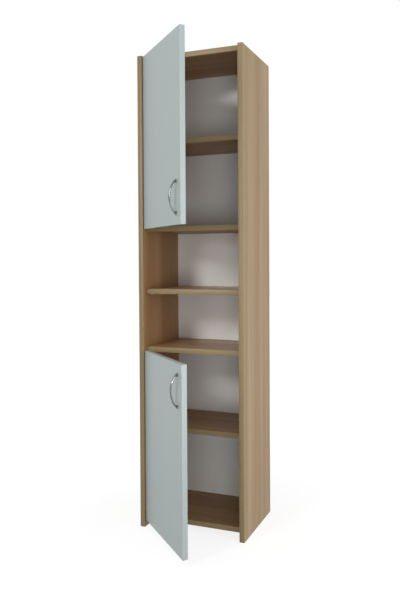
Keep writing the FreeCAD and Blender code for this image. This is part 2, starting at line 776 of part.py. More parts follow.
def make_arm_screws():
    """Screws that clamp the arms on their plates."""
    top = "plate_ridge_height + arm_width"
    shank = rod("arm_screw_shank", "arm_screw_radius", "arm_width + arm_screw_grip",
                "plate_ridge_height - arm_screw_grip", "arm_screw_y", axis="x")
    head = rod("arm_screw_head", "arm_screw_head_radius", "arm_screw_head_thickness",
               top, "arm_screw_y", axis="x")
    slot = box("arm_screw_slot", "arm_screw_head_thickness", "2 * arm_screw_head_radius",
               "cam_slot_width / 2", f"{top} + arm_screw_head_thickness / 2",
               "arm_screw_y - arm_screw_head_radius", "-cam_slot_width / 4")
    master = cut("arm_screw_master", fuse("arm_screw_blank", shank, head), slot)
    copies("hinge_arm_screws", master, hinge_spots())


# --- hinges: bent links ---------------------------------------------------------------

def make_links(door):
    """Bent links: a close eye on the cup pin and a loose eye round the arm pin."""
    prefix = f"{door}_link"
    height = "2 * link_half_height"
    base = "-link_half_height"
    middle_y = "link_bend_radius - link_drop"
    first_leg = box(prefix + "_first_leg", "eye_x - link_bend_radius", "link_sheet", height,
                    "0", "-link_drop - link_sheet / 2", base)
    outer = rod(prefix + "_bend_outer", "link_bend_radius + link_sheet / 2", height,
                "eye_x - link_bend_radius", middle_y, base)
    inner = rod(prefix + "_bend_inner", "link_bend_radius - link_sheet / 2", height,
                "eye_x - link_bend_radius", middle_y, base)
    quarter = box(prefix + "_bend_quarter", "2 * link_bend_radius", "2 * link_bend_radius", height,
                  "eye_x - link_bend_radius", f"{middle_y} - 2 * link_bend_radius", base)
    ring = cut(prefix + "_bend_ring", outer, inner)
    bend = doc.addObject("Part::Common", prefix + "_bend")
    bend.Base = ring
    bend.Tool = quarter
    second_leg = box(prefix + "_second_leg", "link_sheet", f"eye_y - ({middle_y})", height,
                     "eye_x - link_sheet / 2", middle_y, base)
    close_eye = rod(prefix + "_close_eye", "link_eye_radius", height, z=base)
    loose_radius = "arm_pin_radius + loose_eye_play + loose_eye_wall"
    loose_eye = rod(prefix + "_loose_eye", loose_radius, height, "eye_x", "eye_y", base)
    blank = fuse(prefix + "_blank", first_leg, bend, second_leg, close_eye, loose_eye)
    close_hole = rod(prefix + "_close_hole", "cup_pin_radius + hole_clearance", height, z=base)
    loose_hole = rod(prefix + "_loose_hole", "arm_pin_radius + loose_eye_play", height,
                     "eye_x", "eye_y", base)
    master = cut(prefix + "_master", blank, close_hole, loose_hole)
    node = copies(f"{door}_hinge_links", master,
                  [spot(0, 0, evaluate(level)) for level in hinge_levels(door)])
    put(node, "link_x", "link_y", "0", "link_angle")


# --- doors ----------------------------------------------------------------------------

def make_door(door):
    """Door panel core with its hinge cup bores, screw holes and handle holes."""
    bottom, top, handle = DOORS[door]
    label = f"{door}_door"
    body = make_body(label, "axis_x", "axis_y", "0", "-rest_opening")
    face = make_sketch(body, label + "_face", "XZ_Plane", "-door_inner")
    left = "door_left + edging_thickness"
    right = "door_left + door_width - edging_thickness"
    low = f"{bottom} + edging_thickness"
    high = f"{top} - edging_thickness"
    outline(face, [(left, low), (right, low), (right, high), (left, high)])
    pad(body, face, "door_thickness")
    levels = hinge_levels(door)

    def drill(name, radius, depth, centres):
        """Holes from the inner face."""
        holes = circles(make_sketch(body, f"{label}_{name}", "XZ_Plane", "-door_inner"),
                        radius, centres)
        pocket(body, holes, depth, reverse=True)

    drill("cup_bores", "cup_radius", "cup_bore_depth", [("cup_x", z) for z in levels])
    drill("cup_screw_holes", "cup_screw_radius", "cup_screw_length + fitting_clearance",
          [("cup_x + cup_screw_offset", f"{z} {sign} cup_screw_spacing / 2")
           for z in levels for sign in ("+", "-")])
    drill("handle_holes", "handle_screw_radius + handle_screw_clearance", "door_thickness",
          [("handle_x", f"{handle} {sign} handle_spacing / 2") for sign in ("+", "-")])
    return body


def make_door_strips(door):
    """Edge strips round a door: full-length uprights, with short ones between them."""
    bottom, top, _ = DOORS[door]
    height = f"{top} - {bottom}"
    between = "door_width - 2 * edging_thickness"
    inner = "door_left + edging_thickness"
    strips = [
        box(f"{door}_hinge_strip", "edging_thickness", "door_thickness", height,
            "door_left", "door_outer", bottom),
        box(f"{door}_free_strip", "edging_thickness", "door_thickness", height,
            "door_left + door_width - edging_thickness", "door_outer", bottom),
        box(f"{door}_bottom_strip", between, "door_thickness", "edging_thickness",
            inner, "door_outer", bottom),
        box(f"{door}_top_strip", between, "door_thickness", "edging_thickness",
            inner, "door_outer", f"{top} - edging_thickness"),
    ]
    on_door(group(f"{door}_door_edge_strips", *strips))


def make_cups(door):
    """Hinge cups: a round bowl let into the door and a flange with two screw holes."""
    prefix = f"{door}_cup"
    bowl_depth = "cup_bore_depth - 0.2 * cup_floor"
    bowl = rod(prefix + "_bowl", "cup_radius - hole_clearance", bowl_depth,
               "cup_x", f"door_inner - ({bowl_depth})", axis="y")
    flange = box(prefix + "_flange", "flange_end - flange_start", "flange_thickness",
                 "2 * flange_half_height", "cup_x + flange_start", "door_inner", "-flange_half_height")
    # The bowl is open but for two ears that hold the pin beside the link.
    well = rod(prefix + "_well", "cup_radius - cup_wall", "cup_bore_depth + flange_thickness",
               "cup_x", f"door_inner - ({bowl_depth}) + cup_floor", axis="y")
    ears = [box(f"{prefix}_ear_{n}", "2 * ear_half_width",
                f"cup_pin_y + ear_rise - (door_inner - ({bowl_depth}))", "ear_thickness",
                "-ear_half_width", f"door_inner - ({bowl_depth})", z)
            for n, z in (("a", "link_half_height + ear_gap"),
                         ("b", "-link_half_height - ear_gap - ear_thickness"))]
    room = cut(prefix + "_room", well, *ears)
    holes = [rod(f"{prefix}_hole_{n}", "cup_screw_radius", "2 * flange_thickness",
                 "cup_x + cup_screw_offset", "door_inner - flange_thickness / 2",
                 f"{sign}cup_screw_spacing / 2", axis="y") for n, sign in (("a", ""), ("b", "-"))]
    pin_hole = rod(prefix + "_pin_hole", "cup_pin_radius + hole_clearance", "2 * cup_radius",
                   "0", "cup_pin_y", "-cup_radius")
    master = cut(prefix + "_master", fuse(prefix + "_blank", bowl, flange), room, *holes, pin_hole)
    on_door(copies(f"{door}_hinge_cups", master, door_spots(door)))


def door_spots(door):
    """Placements of a door's two hinges in the door's own frame."""
    return [spot(0, 0, evaluate(level)) for level in hinge_levels(door)]


def make_cup_pins(door):
    """Pins through the two ears of each cup."""
    half = "(link_half_height + ear_gap + ear_thickness)"
    pin = rod(f"{door}_cup_pin_master", "cup_pin_radius", f"2 * {half}", "0", "cup_pin_y", f"-{half}")
    on_door(copies(f"{door}_hinge_cup_pins", pin, door_spots(door)))


def make_cup_screws(door):
    """Wood screws of the cups."""
    prefix = f"{door}_cup_screw"
    shank = rod(prefix + "_shank", "cup_screw_radius - hole_clearance",
                "cup_screw_length + flange_thickness", "0", "door_inner - cup_screw_length", axis="y")
    head = rod(prefix + "_head", "cup_screw_head_radius", "cup_screw_head_thickness",
               "0", "door_inner + flange_thickness", axis="y")
    slot = box(prefix + "_slot", "2 * cup_screw_head_radius", "cup_screw_head_thickness",
               "cam_slot_width / 2", "-cup_screw_head_radius",
               "door_inner + flange_thickness + cup_screw_head_thickness / 2", "-cam_slot_width / 4")
    master = cut(prefix + "_master", fuse(prefix + "_blank", shank, head), slot)
    x = value("cup_x") + value("cup_screw_offset")
    half = value("cup_screw_spacing") / 2
    spots = [spot(x, 0, evaluate(level) + shift)
             for level in hinge_levels(door) for shift in (half, -half)]
    on_door(copies(f"{door}_hinge_cup_screws", master, spots))


def make_handle(door):
    """Bow handle: an arched bar of oval section on two posts."""
    level = DOORS[door][2]
    label = f"{door}_handle"
    prefix = label
    bow = make_body(prefix + "_bow", "handle_x", "handle_centre_y", level)
    section = make_sketch(bow, prefix + "_section", "XZ_Plane")
    wide, thin, radius = (value("handle_half_width"), value("handle_half_thickness"),
                          value("handle_radius"))
    centre = Vector(0, radius, 0)
    ellipse = Part.Ellipse(Vector(wide, radius, 0), Vector(0, radius + thin, 0), centre)
    oval = section.addGeometry(ellipse, False)
    section.exposeInternalGeometry(oval)
    section.addConstraint(Sketcher.Constraint("PointOnObject", oval, 3, -2))
    hold(section, "DistanceY", -1, 1, oval, 3, radius, to="handle_radius")
    section.addConstraint(Sketcher.Constraint("Horizontal", oval + 1))
    hold(section, "Distance", oval + 1, 2 * wide, to="2 * handle_half_width")
    hold(section, "Distance", oval + 2, 2 * thin, to="2 * handle_half_thickness")
    ring = bow.newObject("PartDesign::Revolution", prefix + "_ring")
    ring.Profile = section
    ring.ReferenceAxis = (section, ["H_Axis"])
    ring.Angle = 360
    doc.recompute()

    # Keep the part of the ring that stands in front of the door, and give it two posts.
    reach = "2 * handle_radius"
    front = box(prefix + "_room", reach, reach, reach, "handle_x - handle_radius",
                f"door_outer - handle_tip_gap - {reach}", f"{level} - handle_radius")
    arch = doc.addObject("Part::Common", prefix + "_arch")
    arch.Base = bow
    arch.Tool = front
    # The arch stands this far off the door's face above the posts.
    height = ("sqrt(handle_radius ^ 2 - (handle_spacing / 2) ^ 2) - handle_radius"
              " + handle_rise + handle_tip_gap")
    posts = []
    holes = []
    for n, sign in (("top", "+"), ("bottom", "-")):
        at = f"{level} {sign} handle_spacing / 2"
        posts.append(rod(f"{prefix}_{n}_post", "handle_post_radius", height,
                         "handle_x", f"door_outer - ({height})", at, axis="y"))
        holes.append(rod(f"{prefix}_{n}_hole", "handle_screw_radius + hole_clearance",
                         "handle_screw_grip + fitting_clearance", "handle_x",
                         "door_outer - handle_screw_grip - fitting_clearance", at, axis="y"))
    blank = fuse(prefix + "_blank", arch, *posts)
    node = cut(label, blank, *holes)
    on_door(node)


def make_handle_screws(door):
    """Screws that hold a handle from inside the door."""
    level = DOORS[door][2]
    prefix = f"{door}_handle_screw"
    shank = rod(prefix + "_shank", "handle_screw_radius", "handle_screw_grip + door_thickness",
                "0", "door_outer - handle_screw_grip", axis="y")
    head = rod(prefix + "_head", "handle_screw_head_radius", "handle_screw_head_thickness",
               "0", "door_inner", axis="y")
    slot = box(prefix + "_slot", "2 * handle_screw_head_radius", "handle_screw_head_thickness",
               "cam_slot_width / 2", "-handle_screw_head_radius",
               "door_inner + handle_screw_head_thickness / 2", "-cam_slot_width / 4")
    master = cut(prefix + "_master", fuse(prefix + "_blank", shank, head), slot)
    half = value("handle_spacing") / 2
    spots = [spot(value("handle_x"), 0, evaluate(level) + shift) for shift in (half, -half)]
    on_door(copies(f"{door}_handle_screws", master, spots))


# --- the whole cabinet ----------------------------------------------------------------

make_side("left_side", right=False)
make_side("right_side", right=True)
for board_name, board_level in FIXED_LEVELS.items():
    make_fixed_board(board_name, board_level)
for shelf_name, shelf_level in LOOSE_LEVELS.items():
    make_loose_shelf(shelf_name, shelf_level)
make_back_panel()
make_edgings()
make_cams()
make_cam_bolts()
make_dowels()
make_shelf_pins()
make_nails()
make_plates()
make_plate_screws()
make_arms()
make_arm_pins()
make_arm_screws()
for door_name in DOORS:
    make_door(door_name)
    make_door_strips(door_name)
    make_cups(door_name)
    make_cup_pins(door_name)
    make_cup_screws(door_name)
    make_links(door_name)
    make_handle(door_name)
    make_handle_screws(door_name)
doc.recompute()

NODES = (
    ["left_side", "right_side", *FIXED_LEVELS, *LOOSE_LEVELS, "back_panel", "side_edge_strips",
     "shelf_edge_strips", "cam_locks", "cam_bolts", "dowels", "shelf_pins", "back_panel_nails",
     "hinge_plates", "hinge_plate_screws", "hinge_arms", "hinge_arm_pins", "hinge_arm_screws"]
    + [f"{door}_{piece}" for door in DOORS
       for piece in ("door", "door_edge_strips", "hinge_cups", "hinge_cup_pins",
                     "hinge_cup_screws", "hinge_links", "handle", "handle_screws")]
)

for thing in doc.Objects:
    if "Invalid" in thing.State or "Error" in thing.State:
        raise RuntimeError(f"{thing.Name} failed: {thing.State}")
os.makedirs("parts", exist_ok=True)
for name in NODES:
    piece = doc.getObject(name)
    if piece.Shape.isNull() or not piece.Shape.isValid():
        raise RuntimeError(f"{name} has no valid shape")
    piece.Shape.exportStep(f"parts/{name}.step")
    print(f"{name}: {len(piece.Shape.Solids)} solids, {piece.Shape.Volume / 1000:.2f} cm3")
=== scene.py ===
"""Looks of a tall bathroom cabinet: oak laminate boards, two pale doors and bow handles.

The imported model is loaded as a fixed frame.  Boards keep their solids and get finishes;
edgings, handles, hinges and fasteners are made again with rounded edges and real heads.
Everything is in metres, +Z up, with the front facing -Y.
"""
import json
import logging
import math
from collections.abc import Callable
from dataclasses import dataclass, field, replace
from enum import Enum
from functools import partial

import bmesh
import bpy
from mathutils import Matrix, Vector


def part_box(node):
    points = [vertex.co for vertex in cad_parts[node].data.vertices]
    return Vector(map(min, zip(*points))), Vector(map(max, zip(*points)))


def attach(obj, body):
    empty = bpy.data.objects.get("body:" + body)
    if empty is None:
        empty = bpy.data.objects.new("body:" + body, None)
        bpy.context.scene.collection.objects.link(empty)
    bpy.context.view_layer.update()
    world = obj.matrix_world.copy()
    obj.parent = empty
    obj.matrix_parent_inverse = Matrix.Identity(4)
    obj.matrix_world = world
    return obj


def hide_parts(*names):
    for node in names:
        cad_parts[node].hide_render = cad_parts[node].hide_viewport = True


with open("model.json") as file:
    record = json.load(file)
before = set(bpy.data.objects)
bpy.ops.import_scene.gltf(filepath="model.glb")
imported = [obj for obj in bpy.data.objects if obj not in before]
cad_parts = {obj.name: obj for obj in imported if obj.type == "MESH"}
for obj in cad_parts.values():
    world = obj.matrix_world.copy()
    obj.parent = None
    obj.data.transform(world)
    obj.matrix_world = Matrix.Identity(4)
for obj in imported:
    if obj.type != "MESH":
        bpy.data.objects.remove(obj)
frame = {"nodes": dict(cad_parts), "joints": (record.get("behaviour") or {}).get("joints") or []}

LOG = logging.getLogger("cabinet")
MM = 0.001
WELD = 1e-6  # metres within which two corners are one
FLAT_DEG = 1.0  # faces that meet at less are one flat
SHARP_DEG = 32.0  # edges that are rounded bend by more
SMOOTH_DEG = 35.0  # faces that meet at less are shaded as one
UP = Vector((0.0, 0.0, 1.0))
Colour = tuple[float, float, float]
Place = tuple[float, float, float]
WHITE: Colour = (1.0, 1.0, 1.0)
Material = bpy.types.Material
Piece = bpy.types.Object
Mesh = bpy.types.Mesh
Shape = bmesh.types.BMesh
Edge = bmesh.types.BMEdge
Pick = Callable[[Edge], bool]
Socket = bpy.types.NodeSocket
Value = float | int | str | bool | tuple | list | bpy.types.ID | Socket


class Grain(Enum):
    """The way that the grain of a board runs."""

    UPRIGHT = "upright"
    ACROSS = "across"


# --- node graphs ------------------------------------------------------------------------


@dataclass
class Graph:
    """Adds nodes to one tree and joins them."""

    tree: bpy.types.NodeTree

    def add(self, kind: str, inputs: dict[str | int, Value] | None = None,
            **settings: Value) -> bpy.types.Node:
        """Adds a node.

        Args:
            kind: The node's type name.
            inputs: Values, output sockets or lists of sockets, by input name or number.
            settings: The node's own settings.

        Returns:
            The new node.
        """
        node = self.tree.nodes.new(kind)
        for name, value in settings.items():
            setattr(node, name, value)
        for key, value in (inputs or {}).items():
            for item in value if isinstance(value, list) else [value]:
                if isinstance(item, Socket):
                    self.tree.links.new(item, node.inputs[key])
                else:
                    node.inputs[key].default_value = item
        return node

    def math(self, operation: str, *values: Value) -> Socket:
        """Adds a math node and returns its result."""
        node = self.add("ShaderNodeMath", dict(enumerate(values)), operation=operation)
        return node.outputs[0]

    def span(self, value: Socket, low: float, high: float,
             to_low: float = 0.0, to_high: float = 1.0) -> Socket:
        """Maps a value from one range to another, clamped."""
        inputs = {0: value, 1: low, 2: high, 3: to_low, 4: to_high}
        return self.add("ShaderNodeMapRange", inputs, clamp=True).outputs[0]

    def blend(self, share: Value, first: Value, second: Value) -> Socket:
        """Mixes two colours by a share."""
        return self.add("ShaderNodeMix", {0: share, 6: first, 7: second}, data_type="RGBA").outputs[2]

    def weighed(self, first: Socket, share: float, second: Socket, other: float) -> Socket:
        """The sum of two values, each times its share."""
        return self.math("ADD", self.math("MULTIPLY", first, share), self.math("MULTIPLY", second, other))

    def seen(self) -> Socket:
        """1 for rays from the camera or from a reflection, and 0 for light itself."""
        path = self.add("ShaderNodeLightPath")
        return self.math("MAXIMUM", path.outputs["Is Camera Ray"], path.outputs["Is Glossy Ray"])


def rgba(colour: Colour) -> tuple[float, float, float, float]:
    """A colour with full alpha."""
    return (*colour, 1.0)


@dataclass
class Surface(Graph):
    """The node tree of one material, with the parts that the finishes share."""

    material: Material = None
    shader: bpy.types.Node = None

    @classmethod
    def start(cls, name: str, roughness: float, metallic: float = 0.0,
              specular: float = 0.5) -> "Surface":
        """Makes an empty material with one Principled shader.

        Args:
            name: The material's name.
            roughness: The shader's roughness where nothing varies it.
            metallic: 1 for bare metal.
            specular: The shader's specular level.

        Returns:
            The surface, ready for a pattern.
        """
        material = bpy.data.materials.new(name)
        material.use_nodes = True
        tree = material.node_tree
        tree.nodes.clear()
        surface = cls(tree, material)
        inputs = {"Roughness": roughness, "Metallic": metallic, "Specular IOR Level": specular}
        surface.shader = surface.add("ShaderNodeBsdfPrincipled", inputs)
        surface.add("ShaderNodeOutputMaterial", {"Surface": surface.shader.outputs[0]})
        return surface

    def place(self, shift: Place, scale: Place = (1.0, 1.0, 1.0)) -> Socket:
        """Object coordinates, stretched by a scale and then moved by a shift.

        Args:
            shift: How far they are moved.
            scale: How much they are stretched before that.

        Returns:
            The place on the piece.
        """
        where = self.add("ShaderNodeTexCoord").outputs["Object"]
        inputs = {"Vector": where, "Location": tuple(shift), "Scale": scale}
        return self.add("ShaderNodeMapping", inputs).outputs[0]

    def noise(self, where: Socket, scale: float, detail: float = 3.0,
              roughness: float = 0.5) -> Socket:
        """Noise from 0 to 1 at a place, with a number of waves per metre."""
        inputs = {"Vector": where, "Scale": scale, "Detail": detail, "Roughness": roughness}
        return self.add("ShaderNodeTexNoise", inputs).outputs["Fac"]

    def facing(self, axis: str, sign: float, least: float = 0.7) -> Socket:
        """Picks the faces that look along one of the object's axes.

        Args:
            axis: The axis's letter.
            sign: 1 for its positive way and -1 for its negative way.
            least: How much of a face's normal has to lie along it.

        Returns:
            1 on those faces and 0 elsewhere.
        """
        normal = self.add("ShaderNodeTexCoord").outputs["Normal"]
        parts = self.add("ShaderNodeSeparateXYZ", {0: normal})
        along = self.math("MULTIPLY", parts.outputs[axis], sign)
        return self.math("GREATER_THAN", along, least)

    def paint(self, colour: Value, roughness: Value | None = None) -> None:
        """Sets the shader's colour, and its roughness where it varies.

        Args:
            colour: Socket of the colour.
            roughness: Socket of the roughness, if it varies.
        """
        self.tree.links.new(colour, self.shader.inputs["Base Color"])
        if roughness is not None:
            self.tree.links.new(roughness, self.shader.inputs["Roughness"])

    def emboss(self, height: Socket, depth: float, strength: float) -> None:
        """Adds a bump.

        Args:
            height: Socket of the relief.
            depth: How high a relief of 1 stands, in metres.
            strength: How much of it shows.
        """
        inputs = {"Height": height, "Distance": depth, "Strength": strength}
        bump = self.add("ShaderNodeBump", inputs)
        self.tree.links.new(bump.outputs[0], self.shader.inputs["Normal"])


# --- finishes ---------------------------------------------------------------------------


@dataclass(frozen=True)
class OakLaminate:
    """Printed oak on chipboard: soft bands, fine streaks and short dark pores."""

    light: Colour = (0.420, 0.305, 0.152)
    dark: Colour = (0.312, 0.196, 0.094)
    pore: Colour = (0.215, 0.128, 0.058)
    chip_light: Colour = (0.50, 0.39, 0.25)
    chip_dark: Colour = (0.25, 0.17, 0.10)
    roughness: float = 0.42
    specular: float = 0.26
    warp_waves: float = 6.0
    warp: float = 0.05
    bands: float = 17.0
    streaks: float = 130.0
    pores: float = 520.0
    stretch: float = 0.035
    band_share: float = 0.68
    gloss_spread: tuple[float, float] = (0.07, -0.03)
    relief: float = 0.00008

    def make(self, name: str, grain: Grain, shift: Place,
             bare: tuple[tuple[str, float], ...] = (),
             shaded_inside: tuple[float, "OakLaminate"] | None = None) -> Material:
        """Makes the finish for one board.

        Args:
            name: The material's name.
            grain: Which way the grain runs.
            shift: Where on the printed sheet this board was cut.
            bare: Axis and sign of each side that shows the raw chipboard.
            shaded_inside: Sign of the X side that faces the inside, and the darker, redder print painted
                there as shade.

        Returns:
            The material.
        """
        surface = Surface.start(name, self.roughness, specular=self.specular)
        long = self.stretch
        where = surface.place(shift, (1.0, 1.0, long) if grain is Grain.UPRIGHT else (long, 1.0, 1.0))
        push = {0: surface.noise(where, self.warp_waves, 2.0), "Scale": self.warp}
        pushed = surface.add("ShaderNodeVectorMath", push, operation="SCALE")
        both = {0: where, 1: pushed.outputs[0]}
        bent = surface.add("ShaderNodeVectorMath", both, operation="ADD").outputs[0]
        bands = surface.span(surface.noise(bent, self.bands, 2.0, 0.45), 0.34, 0.66)
        streaks = surface.span(surface.noise(bent, self.streaks, 4.0, 0.65), 0.28, 0.72)
        tone = surface.weighed(bands, self.band_share, streaks, 1.0 - self.band_share)
        pores = surface.span(surface.noise(where, self.pores, 2.0, 0.7), 0.60, 0.72)
        few = surface.math("MULTIPLY", pores, surface.span(streaks, 0.1, 0.7, 0.62, 0.18))
        colour = self.printed(surface, tone, few)
        # Painted shade: the side facing the carcass's inside gets a darker, redder print that stands in for
        # its shade and bounced light.
        if shaded_inside:
            sign, other = shaded_inside
            inside = other.printed(surface, tone, few)
            colour = surface.blend(surface.facing("X", sign), colour, inside)
        for axis, sign in bare:
            colour = surface.blend(surface.facing(axis, sign), colour, self.chips(surface))
        dull, bright = (self.roughness + spread for spread in self.gloss_spread)
        surface.paint(colour, surface.span(tone, 0.0, 1.0, dull, bright))
        height = surface.math("SUBTRACT", surface.math("MULTIPLY", streaks, 0.35), pores)
        surface.emboss(height, self.relief, 0.6)
        return surface.material

    def printed(self, surface: Surface, tone: Socket, few: Socket) -> Socket:
        """Colour of the print, from its tone and from where its pores are."""
        wood = surface.blend(tone, rgba(self.dark), rgba(self.light))
        return surface.blend(few, wood, rgba(self.pore))

    def chips(self, surface: Surface) -> Socket:
        """Colour of the raw chipboard: small flat chips of several browns.

        Args:
            surface: The surface that is being made.

        Returns:
            The colour.
        """
        where = surface.place((0.0, 0.0, 0.0))
        cells = surface.add("ShaderNodeTexVoronoi", {"Vector": where, "Scale": 420.0})
        grey = surface.add("ShaderNodeRGBToBW", {0: cells.outputs["Color"]}).outputs[0]
        mix = surface.weighed(grey, 0.5, surface.noise(where, 900.0), 0.5)
        share = surface.span(mix, 0.25, 0.75)
        return surface.blend(share, rgba(self.chip_dark), rgba(self.chip_light))


@dataclass(frozen=True)
class PaleLaminate:
    """Plain pale laminate with a slight sheen."""

    tone: Colour = (0.432, 0.505, 0.492)
    shade: Colour = (0.422, 0.494, 0.482)
    roughness: float = 0.38
    pebbles: float = 750.0

    def make(self, name: str) -> Material:
        """Makes the finish.

        Args:
            name: The material's name.

        Returns:
            The material.
        """
        surface = Surface.start(name, self.roughness)
        where = surface.place((0.3, 0.7, 0.1))
        clouds = surface.span(surface.noise(where, 3.0, 2.0), 0.3, 0.7)
        specks = surface.noise(where, self.pebbles, 2.0, 0.6)
        tone = surface.weighed(clouds, 0.5, specks, 0.2)
        surface.paint(surface.blend(tone, rgba(self.shade), rgba(self.tone)))
        return surface.material


@dataclass(frozen=True)
class Hardboard:
    """Thin hardboard: white lacquer in front, rough brown fibres behind."""

    lacquer: Colour = (0.865, 0.860, 0.835)
    lacquer_shade: Colour = (0.845, 0.840, 0.815)
    fibre: Colour = (0.21, 0.125, 0.07)
    fibre_dark: Colour = (0.12, 0.07, 0.038)
    roughness: float = 0.22
    rear_roughness: float = 0.75
    relief: float = 0.0002

    def make(self, name: str) -> Material:
        """Makes the finish.

        Args:
            name: The material's name.

        Returns:
            The material.
        """
        surface = Surface.start(name, self.roughness)
        where = surface.place((0.2, 0.0, 0.4))
        rear = surface.facing("Y", 1.0)
        clouds = surface.span(surface.noise(where, 9.0, 4.0), 0.3, 0.7)
        front = surface.blend(clouds, rgba(self.lacquer_shade), rgba(self.lacquer))
        mat = surface.noise(where, 380.0, 5.0, 0.75)
        share = surface.span(mat, 0.32, 0.68)
        fibres = surface.blend(share, rgba(self.fibre_dark), rgba(self.fibre))
        rough = surface.span(rear, 0.0, 1.0, self.roughness, self.rear_roughness)
        surface.paint(surface.blend(rear, front, fibres), rough)
        ripple = surface.math("MULTIPLY", surface.noise(where, 26.0, 2.0), 0.3)
        height = surface.math("ADD", ripple, surface.math("MULTIPLY", mat, rear))
        surface.emboss(height, self.relief, 0.3)
        return surface.material


@dataclass(frozen=True)
class Metal:
    """Bare or plated metal, with fine marks and a slightly uneven gloss."""

    tone: Colour
    shade: Colour
    roughness: float
    spread: float
    marks: float = 400.0
    depth: float = 0.00001

    def make(self, name: str) -> Material:
        """Makes the finish.

        Args:
            name: The material's name.

        Returns:
            The material.
        """
        surface = Surface.start(name, self.roughness, metallic=1.0)
        where = surface.place((0.5, 0.2, 0.9))
        marks = surface.noise(where, self.marks, 4.0, 0.65)
        patches = surface.noise(where, self.marks / 8.0, 3.0)
        colour = surface.blend(surface.span(patches, 0.3, 0.7), rgba(self.shade), rgba(self.tone))
        low, high = self.roughness - self.spread, self.roughness + self.spread
        surface.paint(colour, surface.span(marks, 0.3, 0.7, low, high))
        surface.emboss(marks, self.depth, 0.4)
        return surface.material


@dataclass(frozen=True)
class TurnedBeech:
    """Plain beech with short flecks along the dowels."""

    light: Colour = (0.58, 0.42, 0.26)
    dark: Colour = (0.42, 0.28, 0.16)
    roughness: float = 0.6
    stretch: float = 0.15
    relief: float = 0.00005

    def make(self, name: str) -> Material:
        """Makes the finish.

        Args:
            name: The material's name.

        Returns:
            The material.
        """
        surface = Surface.start(name, self.roughness)
        where = surface.place((0.0, 0.0, 0.0), (self.stretch, 1.0, 1.0))
        flecks = surface.span(surface.noise(where, 900.0, 3.0, 0.6), 0.35, 0.65)
        surface.paint(surface.blend(flecks, rgba(self.dark), rgba(self.light)))
        surface.emboss(flecks, self.relief, 0.4)
        return surface.material


def dress(node: str, material: Material) -> None:
    """Gives a CAD node's object one finish.

    Args:
        node: The CAD node.
        material: The finish.
    """
    piece = frame["nodes"][node]
    piece.data.materials.clear()
    piece.data.materials.append(material)


# --- shapes -----------------------------------------------------------------------------


